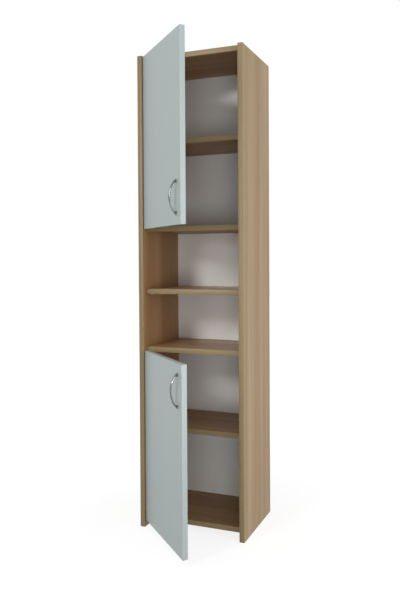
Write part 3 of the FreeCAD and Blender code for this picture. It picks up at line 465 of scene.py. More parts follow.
@dataclass
class Recipe(Graph):
    """A Geometry Nodes tree with named inputs for its sizes."""

    inlet: bpy.types.Node = None
    outlet: bpy.types.Node = None

    @classmethod
    def start(cls, name: str) -> "Recipe":
        """Makes a tree that takes seats as points and gives back a mesh.

        Args:
            name: The tree's name.

        Returns:
            The recipe, ready for its sizes.
        """
        tree = bpy.data.node_groups.new(name, "GeometryNodeTree")
        tree.interface.new_socket("Seats", in_out="INPUT", socket_type="NodeSocketGeometry")
        tree.interface.new_socket("Piece", in_out="OUTPUT", socket_type="NodeSocketGeometry")
        recipe = cls(tree)
        recipe.inlet = recipe.add("NodeGroupInput")
        recipe.outlet = recipe.add("NodeGroupOutput")
        return recipe

    def size(self, name: str, default: float | int) -> Socket:
        """A named input, whole or not by its default.

        Args:
            name: The input's name.
            default: Its value where none is set.

        Returns:
            The input's socket.
        """
        kind = "NodeSocketInt" if isinstance(default, int) else "NodeSocketFloat"
        socket = self.tree.interface.new_socket(name, in_out="INPUT", socket_type=kind)
        socket.default_value = default
        return self.inlet.outputs[name]

    def sizes(self, values: dict[str, float | int]) -> dict[str, Socket]:
        """Named inputs for several sizes."""
        return {name: self.size(name, value) for name, value in values.items()}

    def vector(self, x: Value = 0.0, y: Value = 0.0, z: Value = 0.0) -> Socket:
        """A vector from three numbers or sockets."""
        return self.add("ShaderNodeCombineXYZ", {0: x, 1: y, 2: z}).outputs[0]

    def moved(self, geometry: Socket, **how: Value) -> Socket:
        """Geometry moved, turned or scaled by what the transform's inputs are given."""
        return self.add("GeometryNodeTransform", {"Geometry": geometry, **how}).outputs[0]

    def welded(self, *geometry: Socket) -> Socket:
        """Several meshes as one, with their doubles merged.

        Args:
            geometry: The meshes.

        Returns:
            The joined mesh.
        """
        both = self.add("GeometryNodeJoinGeometry", {0: list(geometry)})
        inputs = {"Geometry": both.outputs[0], "Distance": WELD}
        return self.add("GeometryNodeMergeByDistance", inputs).outputs[0]

    def turned(self, sides: Value, rings: list[tuple[Value, Value]]) -> Socket:
        """A closed turned solid along +Z.

        Args:
            sides: How many sides it has.
            rings: Height and radius of each ring, from the foot up.

        Returns:
            The solid's mesh.
        """
        height, radius = rings[0]
        size = {"Vertices": sides, "Radius": radius}
        disc = self.add("GeometryNodeMeshCircle", size, fill_type="NGON")
        foot = self.moved(disc.outputs[0], Translation=self.vector(z=height))
        mesh, top = foot, True
        for next_height, next_radius in rings[1:]:
            rise = self.vector(z=self.math("SUBTRACT", next_height, height))
            inputs = {"Mesh": mesh, "Selection": top, "Offset": rise, "Offset Scale": 1.0,
                      "Individual": False}
            pulled = self.add("GeometryNodeExtrudeMesh", inputs, mode="FACES")
            top = pulled.outputs["Top"]
            growth = self.math("DIVIDE", next_radius, radius)
            inputs = {"Geometry": pulled.outputs["Mesh"], "Selection": top, "Scale": growth}
            scaled = self.add("GeometryNodeScaleElements", inputs, domain="FACE")
            mesh, height, radius = scaled.outputs[0], next_height, next_radius
        under = self.add("GeometryNodeFlipFaces", {0: foot})
        return self.welded(mesh, under.outputs[0])

    def carved(self, solid: Socket, length: Value, width: Value, low: Value,
               high: Value) -> Socket:
        """Cuts a cross recess into the top of a solid.

        Args:
            solid: The mesh to cut.
            length: Length of each arm's box, end to end.
            width: Width of each arm.
            low: Height of the recess's floor.
            high: Height of the arms' upper ends, above the solid.

        Returns:
            The cut mesh.
        """
        tall = self.math("SUBTRACT", high, low)
        middle = self.vector(z=self.math("MULTIPLY", self.math("ADD", high, low), 0.5))
        arms = []
        for size in (self.vector(length, width, tall), self.vector(width, length, tall)):
            arm = self.add("GeometryNodeMeshCube", {"Size": size})
            arms.append(self.moved(arm.outputs[0], Translation=middle))
        inputs = {"Mesh 1": solid, "Mesh 2": arms}
        node = self.add("GeometryNodeMeshBoolean", inputs, operation="DIFFERENCE", solver="EXACT")
        return node.outputs[0]

    def swept(self, curve: Socket, profile: Socket, **more: Value) -> Socket:
        """A solid with closed ends, swept along a curve."""
        inputs = {"Curve": curve, "Profile Curve": profile, "Fill Caps": True, **more}
        return self.add("GeometryNodeCurveToMesh", inputs).outputs[0]

    def thread(self, radius: Value, pitch: Value, low: Value, length: Value,
               thick: float = 0.3, steps: int = 12) -> Socket:
        """A screw thread: a three-sided wire wound up along +Z.

        Args:
            radius: Radius of the winding.
            pitch: Rise of one turn.
            low: Height where it starts.
            length: How far up it goes.
            thick: The wire's radius as a share of the pitch.
            steps: How many steps make one turn.

        Returns:
            The thread's mesh.
        """
        spiral = self.add("GeometryNodeCurveSpiral", {
            "Resolution": steps, "Rotations": self.math("DIVIDE", length, pitch),
            "Start Radius": radius, "End Radius": radius, "Height": length,
        })
        lifted = self.moved(spiral.outputs[0], Translation=self.vector(z=low))
        inputs = {"Resolution": 3, "Radius": self.math("MULTIPLY", pitch, thick)}
        wire = self.add("GeometryNodeCurvePrimitiveCircle", inputs)
        return self.swept(lifted, wire.outputs[0])

    def seated(self, solid: Socket) -> Socket:
        """Puts a solid on every seat, along its aim and turned by a random angle about it.

        Args:
            solid: The solid, with its foot at the origin and its head up.

        Returns:
            Its instances.
        """
        aim = self.add("GeometryNodeInputNamedAttribute", {"Name": "aim"}, data_type="FLOAT_VECTOR")
        inputs = {"Vector": aim.outputs[0]}
        upright = self.add("FunctionNodeAlignRotationToVector", inputs, axis="Z")
        inputs = {2: 0.0, 3: math.tau, "Seed": self.size("seed", 7)}
        turn = self.add("FunctionNodeRandomValue", inputs, data_type="FLOAT")
        inputs = {"Axis": tuple(UP), "Angle": turn.outputs[1]}
        spin = self.add("FunctionNodeAxisAngleToRotation", inputs)
        inputs = {"Rotation": upright.outputs[0], "Rotate By": spin.outputs[0]}
        rotation = self.add("FunctionNodeRotateRotation", inputs, rotation_space="LOCAL").outputs[0]
        inputs = {"Points": self.inlet.outputs["Seats"], "Instance": solid, "Rotation": rotation}
        return self.add("GeometryNodeInstanceOnPoints", inputs).outputs[0]

    def serve(self, result: Socket, material: Material) -> None:
        """Ends the tree with real geometry in one material.

        Args:
            result: The finished geometry, or its instances.
            material: Its only finish.
        """
        real = self.add("GeometryNodeRealizeInstances", {0: result})
        inputs = {"Geometry": real.outputs[0], "Material": material}
        painted = self.add("GeometryNodeSetMaterial", inputs)
        self.tree.links.new(painted.outputs[0], self.outlet.inputs[0])


@dataclass(frozen=True)
class Seat:
    """Where a fastener's foot sits and where it points, as its CAD solid does."""

    foot: Vector
    aim: Vector
    length: float


def merged(node: str) -> Shape:
    """The mesh of a CAD node, with its doubles merged.

    Args:
        node: The CAD node.

    Returns:
        A copy of its mesh, to be worked on.
    """
    shape = bmesh.new()
    shape.from_mesh(frame["nodes"][node].data)
    bmesh.ops.remove_doubles(shape, verts=shape.verts, dist=WELD)
    return shape


def extents(places: list[Vector]) -> tuple[Vector, ...]:
    """The low and the high corner of the box round some places."""
    return tuple(Vector(pick(values) for values in zip(*places)) for pick in (min, max))


def solids(node: str) -> list[list[Vector]]:
    """Parts a CAD node into its solids, which share no corner.

    Args:
        node: The CAD node.

    Returns:
        The corners of each solid, in order of the solids' middles.
    """
    shape = merged(node)
    left = set(shape.verts)
    found = []
    while left:
        front = [left.pop()]
        members = []
        while front:
            corner = front.pop()
            members.append(corner.co.copy())
            for edge in corner.link_edges:
                other = edge.other_vert(corner)
                if other in left:
                    left.discard(other)
                    front.append(other)
        found.append(members)
    shape.free()

    def middle(corners: list[Vector]) -> tuple[float, ...]:
        """The mean of a solid's corners, in metres to a tenth of a millimetre."""
        return tuple(round(value, 4) for value in sum(corners, Vector()) / len(corners))

    return sorted(found, key=middle)


def inwards(centre: Vector) -> Vector:
    """The way from a side board towards the middle of the cabinet."""
    return Vector((-math.copysign(1.0, centre.x), 0.0, 0.0))


def seats(node: str, aim: Vector | Callable[[Vector], Vector]) -> list[Seat]:
    """Reads the seats of a node's fasteners from its solids.

    Args:
        node: The CAD node.
        aim: The direction from foot to head, or what gives it for a solid's centre.

    Returns:
        One seat for each solid.
    """
    found = []
    for corners in solids(node):
        low, high = extents(corners)
        ahead = (aim((low + high) / 2) if callable(aim) else aim).normalized()
        side = ahead.orthogonal().normalized()
        turn = Matrix((side, ahead.cross(side), ahead))
        low, high = extents([turn @ corner for corner in corners])
        foot = turn.transposed() @ Vector(((low.x + high.x) / 2, (low.y + high.y) / 2, low.z))
        found.append(Seat(foot, ahead, high.z - low.z))
    return found


def finished(name: str, mesh: Mesh, material: Material) -> Piece:
    """Makes an object of a mesh, smooth but for its sharp edges.

    Args:
        name: The new piece's name.
        mesh: Its mesh.
        material: Its only finish.

    Returns:
        The new piece, in the scene.
    """
    mesh.name = name
    mesh.materials.clear()
    mesh.materials.append(material)
    mesh.polygons.foreach_set("material_index", [0] * len(mesh.polygons))
    mesh.shade_smooth()
    mesh.set_sharp_from_angle(angle=math.radians(SMOOTH_DEG))
    piece = bpy.data.objects.new(name, mesh)
    bpy.context.scene.collection.objects.link(piece)
    return piece


def cooked(name: str, recipe: Recipe, material: Material, places: list[Seat],
           sizes: dict[str, float]) -> Piece:
    """Runs a recipe once and keeps its result as a plain mesh.

    Args:
        name: The new piece's name.
        recipe: The Geometry Nodes tree.
        material: The piece's finish.
        places: Where the recipe's copies sit.
        sizes: Values of the tree's named inputs.

    Returns:
        The finished piece, without modifiers.
    """
    points = bpy.data.meshes.new(name + "_seats")
    points.from_pydata([tuple(seat.foot) for seat in places], [], [])
    aims = points.attributes.new("aim", "FLOAT_VECTOR", "POINT")
    aims.data.foreach_set("vector", [value for seat in places for value in seat.aim])
    maker = bpy.data.objects.new(name + "_maker", points)
    bpy.context.scene.collection.objects.link(maker)
    modifier = maker.modifiers.new("recipe", "NODES")
    modifier.node_group = recipe.tree
    for socket in recipe.tree.interface.items_tree:
        if socket.in_out == "INPUT" and socket.name in sizes:
            modifier[socket.identifier] = sizes[socket.name]
    bpy.context.view_layer.update()
    graph = bpy.context.evaluated_depsgraph_get()
    mesh = bpy.data.meshes.new_from_object(maker.evaluated_get(graph))
    maker.modifiers.clear()
    bpy.data.objects.remove(maker)
    return finished(name, mesh, material)


def poured(name: str, shape: Shape, material: Material) -> Piece:
    """Makes a finished piece of a worked shape, and frees the shape.

    Args:
        name: The new piece's name.
        shape: The worked shape.
        material: Its only finish.

    Returns:
        The new piece.
    """
    mesh = bpy.data.meshes.new(name)
    shape.to_mesh(mesh)
    shape.free()
    return finished(name, mesh, material)


def rounded(shape: Shape, edges: list[Edge], width: float, segments: int, clamp: bool = True) -> None:
    """Rounds some edges of a shape, each by a number of segments."""
    bmesh.ops.bevel(shape, geom=edges, offset=width, offset_type="OFFSET", segments=segments,
                    profile=0.5, affect="EDGES", clamp_overlap=clamp)


def softened(node: str, name: str, material: Material, width: float, pick: Pick | None = None,
             corners: tuple[Pick, float] | None = None) -> Piece:
    """Copies a CAD node with its sharp edges rounded.

    Args:
        node: The CAD node.
        name: The new piece's name.
        material: Its finish.
        width: How wide the rounded edges are, in metres.
        pick: Which of the sharp edges are rounded; all of them if it isn't given.
        corners: Edges that first get a larger radius, and that radius.

    Returns:
        The new piece.
    """
    shape = merged(node)
    bmesh.ops.dissolve_limit(
        shape, angle_limit=math.radians(FLAT_DEG), verts=shape.verts, edges=shape.edges)

    def sharp(wanted: Pick | None) -> list[Edge]:
        """The wanted ones of the edges where two faces meet at a clear angle.

        Args:
            wanted: Picks the wanted edges; all of them if it isn't given.

        Returns:
            Those edges.
        """
        clear = [edge for edge in shape.edges
                 if len(edge.link_faces) == 2 and edge.calc_face_angle(0.0) > math.radians(SHARP_DEG)]
        return [edge for edge in clear if wanted is None or wanted(edge)]

    if corners:
        rounded(shape, sharp(corners[0]), corners[1], 5, clamp=False)
    rounded(shape, sharp(pick), width, 2)
    bmesh.ops.dissolve_degenerate(shape, dist=WELD, edges=shape.edges)
    return poured(name, shape, material)


def fit(piece: Piece, body: str, slot: str, *nodes: str) -> None:
    """Hangs a piece on its body in place of CAD nodes, and reports it.

    Args:
        piece: The piece.
        body: The body that it moves with.
        slot: Not used.
        nodes: The CAD nodes that it stands for.
    """
    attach(piece, body)
    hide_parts(*nodes)
    LOG.info("%s: %d faces on %s", piece.name, len(piece.data.polygons), body)


@dataclass(frozen=True)
class Turned:
    """A turned pin, nail, bolt or dowel, in millimetres from its foot."""

    name: str
    rings: tuple[tuple[float, float], ...]
    sides: int = 20

    def build(self, material: Material, places: list[Seat]) -> Piece:
        """Makes one copy on every seat.

        Args:
            material: The piece's finish.
            places: The seats.

        Returns:
            All copies as one piece.
        """
        recipe = Recipe.start(self.name)
        heights = {f"height_{number}": high * MM for number, (high, _) in enumerate(self.rings)}
        radii = {f"radius_{number}": wide * MM for number, (_, wide) in enumerate(self.rings)}
        sides = recipe.size("sides", self.sides)
        rings = list(zip(recipe.sizes(heights).values(), recipe.sizes(radii).values()))
        recipe.serve(recipe.seated(recipe.turned(sides, rings)), material)
        sizes = {"sides": self.sides, **heights, **radii}
        return cooked(self.name, recipe, material, places, sizes)


@dataclass(frozen=True)
class Screw:
    """A cross-recessed screw with a domed head and a cut thread, in millimetres."""

    name: str
    shank_radius: float
    head_radius: float
    head_height: float
    pitch: float
    blunt: float = 0.25
    recess_length: float = 1.25
    recess_width: float = 0.26
    recess_floor: float = 0.30
    core: float = 0.80
    tip: float = 1.4
    bare_end: float = 1.5
    dome: tuple[tuple[float, float], ...] = (
        (0.001, 0.97), (0.22, 1.0), (0.55, 0.92), (0.85, 0.70), (1.0, 0.36))
    sides: int = 28

    def build(self, material: Material, places: list[Seat]) -> Piece:
        """Makes one screw on every seat, as long as its CAD solid.

        Args:
            material: The screws' finish.
            places: The seats.

        Returns:
            All screws as one piece.
        """
        recipe = Recipe.start(self.name)
        lengths = ("shank_radius", "head_radius", "head_height", "pitch")
        shares = ("blunt", "recess_length", "recess_width")
        sizes = {word: getattr(self, word) * MM for word in lengths}
        sizes |= {word: getattr(self, word) for word in shares} | {"length": places[0].length}
        shank, head, tall, pitch, blunt, slot, slit, length = recipe.sizes(sizes).values()
        sizes["sides"] = self.sides
        sides = recipe.size("sides", self.sides)
        neck = recipe.math("SUBTRACT", length, tall)

        def over(share: float) -> Socket:
            """A height within the head."""
            return recipe.math("MULTIPLY_ADD", tall, share, neck)

        def part(of: Socket, share: Value) -> Socket:
            """A share of a size."""
            return recipe.math("MULTIPLY", of, share)

        core = part(shank, self.core)
        stem = [(0.0, part(shank, blunt)), (part(shank, self.tip), core), (neck, core)]
        cap = [(over(up), part(head, wide)) for up, wide in self.dome]
        solid = recipe.turned(sides, stem + cap)
        floor, above = over(self.recess_floor), over(1.5)
        solid = recipe.carved(solid, part(head, slot), part(head, slit), floor, above)
        room = recipe.math("SUBTRACT", neck, part(shank, 2.0 * self.bare_end))
        wound = recipe.thread(core, pitch, part(shank, self.bare_end), room)
        both = recipe.add("GeometryNodeJoinGeometry", {0: [solid, wound]}).outputs[0]
        recipe.serve(recipe.seated(both), material)
        return cooked(self.name, recipe, material, places, sizes)


# --- pieces -----------------------------------------------------------------------------


@dataclass
class Camera:
    """The photograph's camera, from a pinhole fitted to the carcass corners."""

    focal_px: float = 649.13
    centre_px: tuple[float, float] = (219.16, 272.22)
    image_px: tuple[int, int] = (400, 600)
    sensor_mm: float = 36.0
    offset: Vector = field(default_factory=lambda: Vector((0.93015, -2.07391, 0.97069)))
    yaw: float = math.radians(21.522)
    pitch: float = math.radians(1.159)
    roll: float = math.radians(-0.291)
    far: float = 60.0

    def build(self) -> None:
        """Places the camera in front of the carcass and makes it the scene's own."""
        width, height = self.image_px
        data = bpy.data.cameras.new("photo_camera")
        data.sensor_width = self.sensor_mm
        data.lens = self.focal_px * self.sensor_mm / height
        data.shift_x = (width / 2 - self.centre_px[0]) / height
        data.shift_y = (self.centre_px[1] - height / 2) / height
        data.clip_end = self.far
        ahead = Vector((
            -math.sin(self.yaw) * math.cos(self.pitch),
            math.cos(self.yaw) * math.cos(self.pitch),
            -math.sin(self.pitch),
        ))
        level_right = Vector((math.cos(self.yaw), math.sin(self.yaw), 0.0))
        level_up = level_right.cross(ahead)
        right = math.cos(self.roll) * level_right + math.sin(self.roll) * level_up
        up = math.cos(self.roll) * level_up - math.sin(self.roll) * level_right
        turn = Matrix((right, up, -ahead)).transposed().to_4x4()
        camera = bpy.data.objects.new("photo_camera", data)
        front = Vector((0.0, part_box("side_edge_strips")[0].y, 0.0))
        camera.matrix_world = Matrix.Translation(front + self.offset) @ turn
        bpy.context.scene.collection.objects.link(camera)
        bpy.context.scene.camera = camera


@dataclass(frozen=True)
class Lamp:
    """A square area lamp that looks at a point on the cabinet."""

    name: str
    place: Place
    size: float
    power: float
    colour: Colour = WHITE
    target: Place = (0.0, 0.0, 0.9)
    lights_matt: bool = True

    def build(self) -> None:
        """Adds the lamp; one that doesn't light matt faces shows only in glossy ones."""
        data = bpy.data.lights.new(self.name, "AREA")
        data.shape = "SQUARE"
        data.size = self.size
        data.energy = self.power
        data.color = self.colour
        lamp = bpy.data.objects.new(self.name, data)
        lamp.location = self.place
        lamp.visible_diffuse = self.lights_matt
        aim = Vector(self.target) - Vector(self.place)
        lamp.rotation_euler = aim.to_track_quat("-Z", "Y").to_euler()
        bpy.context.scene.collection.objects.link(lamp)


@dataclass
class Studio:
    """Pale floor, a soft sky and large soft lamps."""

    floor_half: float = 14.0
    floor_tone: Colour = (0.22, 0.22, 0.22)
    near_glow: float = 0.84
    far_glow: float = 1.0
    glow_reach: tuple[float, float] = (0.4, 2.0)
    sky_high: Colour = WHITE
    sky_low: Colour = (0.62, 0.62, 0.62)
    sky_band: tuple[float, float] = (-0.3, 0.8)
    sky_strength: float = 0.56
    lamps: tuple[Lamp, ...] = (
        Lamp("high_left_lamp", (-1.1, -3.3, 2.48), 0.8, 49.0),
        Lamp("right_window", (4.2, -0.2, 1.1), 2.4, 50.0),
        Lamp("right_front_window", (3.7, -2.2, 0.9), 2.0, 42.0),
        Lamp("low_right_lamp", (1.3, -2.9, 0.40), 1.0, 21.0, (0.92, 0.96, 1.0), (0.0, 0.0, 0.3)),
        Lamp("gloss_lamp", (-1.1, -3.3, 1.75), 0.6, 45.0, lights_matt=False),
    )

    def build(self) -> None:
        """Makes the floor, the world and the lamps."""
        self.make_floor()
        self.make_world()
        for lamp in self.lamps:
            lamp.build()
        bpy.context.scene.view_settings.view_transform = "Standard"

    def make_floor(self) -> None:
        """A plain floor that looks white where it is seen but keeps the shadow."""
        mesh = bpy.data.meshes.new("floor")
        side = self.floor_half
        corners = [(-side, -side, 0), (side, -side, 0), (side, side, 0), (-side, side, 0)]
        mesh.from_pydata(corners, [], [(0, 1, 2, 3)])
        floor = bpy.data.objects.new("floor", mesh)
        bpy.context.scene.collection.objects.link(floor)
        material = bpy.data.materials.new("pale_floor")
        material.use_nodes = True
        graph = Graph(material.node_tree)
        graph.tree.nodes.clear()
        matt = graph.add("ShaderNodeBsdfDiffuse", {"Color": rgba(self.floor_tone)})
        where = graph.add("ShaderNodeTexCoord").outputs["Object"]
        reach = graph.add("ShaderNodeVectorMath", {0: where}, operation="LENGTH").outputs["Value"]
        level = graph.span(reach, *self.glow_reach, self.near_glow, self.far_glow)
        inputs = {"Color": rgba(WHITE), "Strength": graph.math("MULTIPLY", graph.seen(), level)}
        glow = graph.add("ShaderNodeEmission", inputs)
        both = graph.add("ShaderNodeAddShader", {0: matt.outputs[0], 1: glow.outputs[0]})
        graph.add("ShaderNodeOutputMaterial", {"Surface": both.outputs[0]})
        mesh.materials.append(material)

    def make_world(self) -> None:
        """White where it is seen; a sky that is brighter above for the light itself."""
        world = bpy.data.worlds.new("soft_sky")
        world.use_nodes = True
        bpy.context.scene.world = world
        graph = Graph(world.node_tree)
        graph.tree.nodes.clear()
        ahead = graph.add("ShaderNodeTexCoord").outputs["Generated"]
        height = graph.add("ShaderNodeSeparateXYZ", {0: ahead}).outputs["Z"]
        rise = graph.span(height, *self.sky_band)
        sky = graph.blend(rise, rgba(self.sky_low), rgba(self.sky_high))
        light, white = (
            graph.add("ShaderNodeBackground", {"Color": colour, "Strength": strength}).outputs[0]
            for colour, strength in ((sky, self.sky_strength), (rgba(WHITE), 1.0))
        )
        mix = graph.add("ShaderNodeMixShader", {0: graph.seen(), 1: light, 2: white})
        graph.add("ShaderNodeOutputWorld", {"Surface": mix.outputs[0]})


@dataclass
class Boards:
    """The carcass boards, which keep their solids."""

    oak: OakLaminate = OakLaminate()
    # Painted shade: a darker, redder print that stands in for the shade and wood-bounced light inside the
    # carcass.
    red_oak: OakLaminate = OakLaminate(
        (0.408, 0.236, 0.104), (0.296, 0.156, 0.064), (0.195, 0.098, 0.040))
    back: Hardboard = Hardboard()
    side_places: tuple[Place, ...] = ((0.0, 0.17, 0.0), (0.31, 0.17, 0.4))
    shelf_step: Place = (0.23, 0.41, 0.13)
    shelves: tuple[str, ...] = (
        "top_panel", "upper_shelf", "upper_fixed_shelf", "middle_shelf",
        "lower_fixed_shelf", "lower_shelf", "bottom_panel",
    )

    def build(self) -> None:
        """Dresses every board, each cut from another place on the sheet."""
        raw = (("Y", 1.0), ("Z", -1.0))
        for node, inside, shift in zip(("left_side", "right_side"), (1.0, -1.0), self.side_places):
            # The faces towards the inside get the painted shade print.
            shaded_inside = (inside, self.red_oak)
            dress(node, self.oak.make(f"oak_{node}", Grain.UPRIGHT, shift, raw, shaded_inside))
        # The shelves get the painted shade print all over.
        for number, node in enumerate(self.shelves):
            shift = tuple(step * number for step in self.shelf_step)
            dress(node, self.red_oak.make(f"oak_{node}", Grain.ACROSS, shift))
        dress("back_panel", self.back.make("hardboard"))
        LOG.info("dressed: two sides, %d boards between them and the back", len(self.shelves))


@dataclass
class Edging:
    """Thin strips on the carcass's front edges, with their outer arrises eased."""

    oak: OakLaminate = OakLaminate(
        (0.318, 0.237, 0.122), (0.230, 0.158, 0.077), (0.160, 0.104, 0.047))
    ease: float = 0.55
    near: float = 0.02

    def build(self) -> None:
        """Makes the strips of the sides and of the seven horizontal boards."""
        for node, grain, shift in (
            ("side_edge_strips", Grain.UPRIGHT, (0.7, 0.2, 0.3)),
            ("shelf_edge_strips", Grain.ACROSS, (0.1, 0.9, 0.3)),
        ):
            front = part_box(node)[0].y + self.near * MM

            def outer(edge: Edge, front: float = front) -> bool:
                """True for an edge on the strips' front faces."""
                return all(corner.co.y < front for corner in edge.verts)

            material = self.oak.make("oak_" + node, grain, shift)
            name = node.replace("strips", "banding")
            piece = softened(node, name, material, self.ease * MM, outer)
            fit(piece, "carcass", "oak_edging", node)


@dataclass
class Fittings:
    """Fasteners of the carcass: cams, bolts, dowels, shelf pins and nails."""

    nickel: Material
    zinc: Material
    beech: Material
    shelf_pin: Turned = Turned("shelf_studs", (
        (0.0, 1.9), (0.5, 2.45), (8.0, 2.45), (8.01, 3.4), (8.15, 3.75), (8.65, 3.75),
        (8.79, 3.45), (8.8, 2.45), (15.1, 2.45), (15.75, 2.05), (16.0, 1.3)), 28)
    nail: Turned = Turned("panel_nails", (
        (0.0, 0.12), (2.0, 0.7), (16.0, 0.7), (16.01, 1.45), (16.12, 1.6), (16.3, 1.55),
        (16.5, 1.2), (16.6, 0.6)), 16)
    bolt: Turned = Turned("cam_studs", (
        (0.0, 1.7), (0.8, 2.25), (1.6, 2.45), (2.2, 2.2), (3.4, 2.45), (4.0, 2.2), (5.2, 2.45),
        (5.8, 2.2), (7.0, 2.45), (7.6, 2.2), (8.8, 2.45), (9.4, 2.2), (10.9, 2.45), (11.0, 3.0),
        (38.0, 3.0), (39.5, 1.9), (42.0, 1.9), (42.01, 3.2), (42.5, 3.5), (44.3, 3.5), (45.0, 2.6)))
    dowel: Turned = Turned("wooden_pegs", ((0.0, 3.3), (0.7, 3.95), (34.3, 3.95), (35.0, 3.3)))
    cam_ease: float = 0.25

    def build(self) -> None:
        """Makes every kind, on the seats of its CAD solids."""
        rearwards = Vector((0.0, 1.0, 0.0))
        for kind, node, aim, material, slot in (
            (self.shelf_pin, "shelf_pins", inwards, self.nickel, "plated_steel"),
            (self.nail, "back_panel_nails", rearwards, self.nickel, "plated_steel"),
            (self.bolt, "cam_bolts", inwards, self.nickel, "plated_steel"),
            (self.dowel, "dowels", inwards, self.beech, "beech"),
        ):
            fit(kind.build(material, seats(node, aim)), "carcass", slot, node)
        cams = softened("cam_locks", "cam_discs", self.zinc, self.cam_ease * MM)
        fit(cams, "carcass", "zinc", "cam_locks")


@dataclass
class HingeArms:
    """The hinges' fixed halves: plates, arms, pins and screws on the left side board."""

    nickel: Material
    corner: float = 4.0
    ease: float = 0.25
    plate_base: float = 2.2
    through: float = 0.8
    near: float = 0.1
    plate_screw: Screw = Screw("hinge_plate_bolts", 2.45, 3.6, 1.8, 1.4)
    arm_screw: Screw = Screw("hinge_arm_bolts", 2.0, 3.6, 1.6, 0.8, blunt=0.8)
    pin: Turned = Turned("hinge_arm_rivets", ((0.0, 0.85), (0.3, 1.25), (12.1, 1.25), (12.4, 0.85)))

    def build(self) -> None:
        """Makes the plates and arms with rounded edges, and their fasteners."""
        thick = self.plate_base * MM
        ends = [end.z for corners in solids("hinge_plates") for end in extents(corners)]

        def wing_corner(edge: Edge) -> bool:
            """Picks the short edges through a plate's thin base, at its upper or lower end.

            Args:
                edge: An edge of the plates.

            Returns:
                True if it is one of them.
            """
            a, b = (corner.co for corner in edge.verts)
            at_end = any(abs(a.z - end) < self.near * MM for end in ends)
            return at_end and abs(a.x - b.x) > self.through * thick and (a - b).length < thick

        for node, name, corners in (
            ("hinge_plates", "hinge_bases", (wing_corner, self.corner * MM)),
            ("hinge_arms", "hinge_levers", None),
        ):
            piece = softened(node, name, self.nickel, self.ease * MM, corners=corners)
            fit(piece, "carcass", "plated_steel", node)
        across = Vector((1.0, 0.0, 0.0))
        for kind, node, aim in (
            (self.plate_screw, "hinge_plate_screws", across),
            (self.arm_screw, "hinge_arm_screws", across),
            (self.pin, "hinge_arm_pins", UP),
        ):
            fit(kind.build(self.nickel, seats(node, aim)), "carcass", "plated_steel", node)


@dataclass
class BowHandle:
    """An arched bar of oval section that thins out at its tips, on two flared posts."""

    half_span: float = 57.0
    rise: float = 24.0
    half_width: float = 5.0
    half_thickness: float = 2.6
    tip_gap: float = 0.8
    tip_power: float = 12.0
    tip_least: float = 0.002
    spacing: float = 96.0
    post_radius: float = 3.0
    post_ease: float = 0.4
    post_foot: float = 0.93
    post_flare: tuple[tuple[float, float], ...] = ((0.35, 0.94), (0.7, 0.97), (0.98, 1.0), (1.0, 0.9))
    stations: int = 96
    sides: int = 24

    def build(self, name: str, material: Material, foot: Vector, out: Vector) -> Piece:
        """Makes the handle.

        Args:
            name: The piece's name.
            material: Its finish.
            foot: Middle of the handle on the door's face.
            out: Direction out of the door.

        Returns:
            The handle, in place.
        """
        recipe = Recipe.start(name)
        lengths = ("half_span", "rise", "half_width", "half_thickness", "tip_gap", "spacing", "post_radius")
        sizes = {word: getattr(self, word) * MM for word in lengths}
        sizes |= {"stations": self.stations, "sides": self.sides}
        half, rise, wide, thick, gap, spacing, post, stations, sides = recipe.sizes(sizes).values()
        add, times, less, over = (
            partial(recipe.math, word) for word in ("ADD", "MULTIPLY", "SUBTRACT", "DIVIDE"))
        radius = over(add(times(half, half), times(rise, rise)), times(rise, 2.0))
        reach = recipe.math("ARCSINE", over(half, radius))

        def above(drop: Socket) -> Socket:
            """Height over the door where the bar's circle has this height over its centre."""
            return add(add(less(drop, radius), rise), gap)

        # Stations crowd at the tips, where the bar is rounded off.
        line = recipe.add("GeometryNodeMeshLine", {"Count": stations})
        index = recipe.add("GeometryNodeInputIndex").outputs[0]
        middle = less(over(index, less(stations, 1.0)), 0.5)
        share = recipe.math("SINE", times(middle, math.pi))
        angle = times(share, reach)
        lift = above(times(recipe.math("COSINE", angle), radius))
        along = times(recipe.math("SINE", angle), radius)
        inputs = {"Geometry": line.outputs[0], "Position": recipe.vector(along, 0.0, lift)}
        bent = recipe.add("GeometryNodeSetPosition", inputs)
        path = recipe.add("GeometryNodeMeshToCurve", {0: bent.outputs[0]})
        level = recipe.add("GeometryNodeSetCurveNormal", {"Curve": path.outputs[0]}, mode="FREE")
        recipe.tree.links.new(recipe.vector(0.0, 1.0, 0.0), level.inputs["Normal"])
        away = recipe.math("POWER", recipe.math("ABSOLUTE", share), self.tip_power)
        taper = recipe.math("SQRT", recipe.math("MAXIMUM", less(1.0, away), self.tip_least))
        disc = recipe.add("GeometryNodeCurvePrimitiveCircle", {"Resolution": sides, "Radius": 1.0})
        oval = recipe.moved(disc.outputs[0], Scale=recipe.vector(wide, thick, 1.0))
        bar = recipe.swept(level.outputs[0], oval, Scale=taper)

        # Each post stands under the bar and flares into it.
        out_to = times(spacing, 0.5)
        height = above(recipe.math("SQRT", less(times(radius, radius), times(out_to, out_to))))
        rings = [(0.0, times(post, self.post_foot)), (self.post_ease * MM, post)]
        rings += [(times(height, up), times(post, flare)) for up, flare in self.post_flare]
        column = recipe.turned(sides, rings)
        posts = [
            recipe.moved(column, Translation=recipe.vector(times(out_to, sign), 0.0, 0.0))
            for sign in (1.0, -1.0)
        ]
        whole = recipe.welded(bar, *posts)

        # The tree draws it lying along X, standing up along Z; the door has it upright.
        turn = Matrix((UP, out.cross(UP), out)).transposed().to_euler()
        recipe.serve(recipe.moved(whole, Translation=tuple(foot), Rotation=tuple(turn)), material)
        return cooked(name, recipe, material, [Seat(foot, out, 0.0)], sizes)


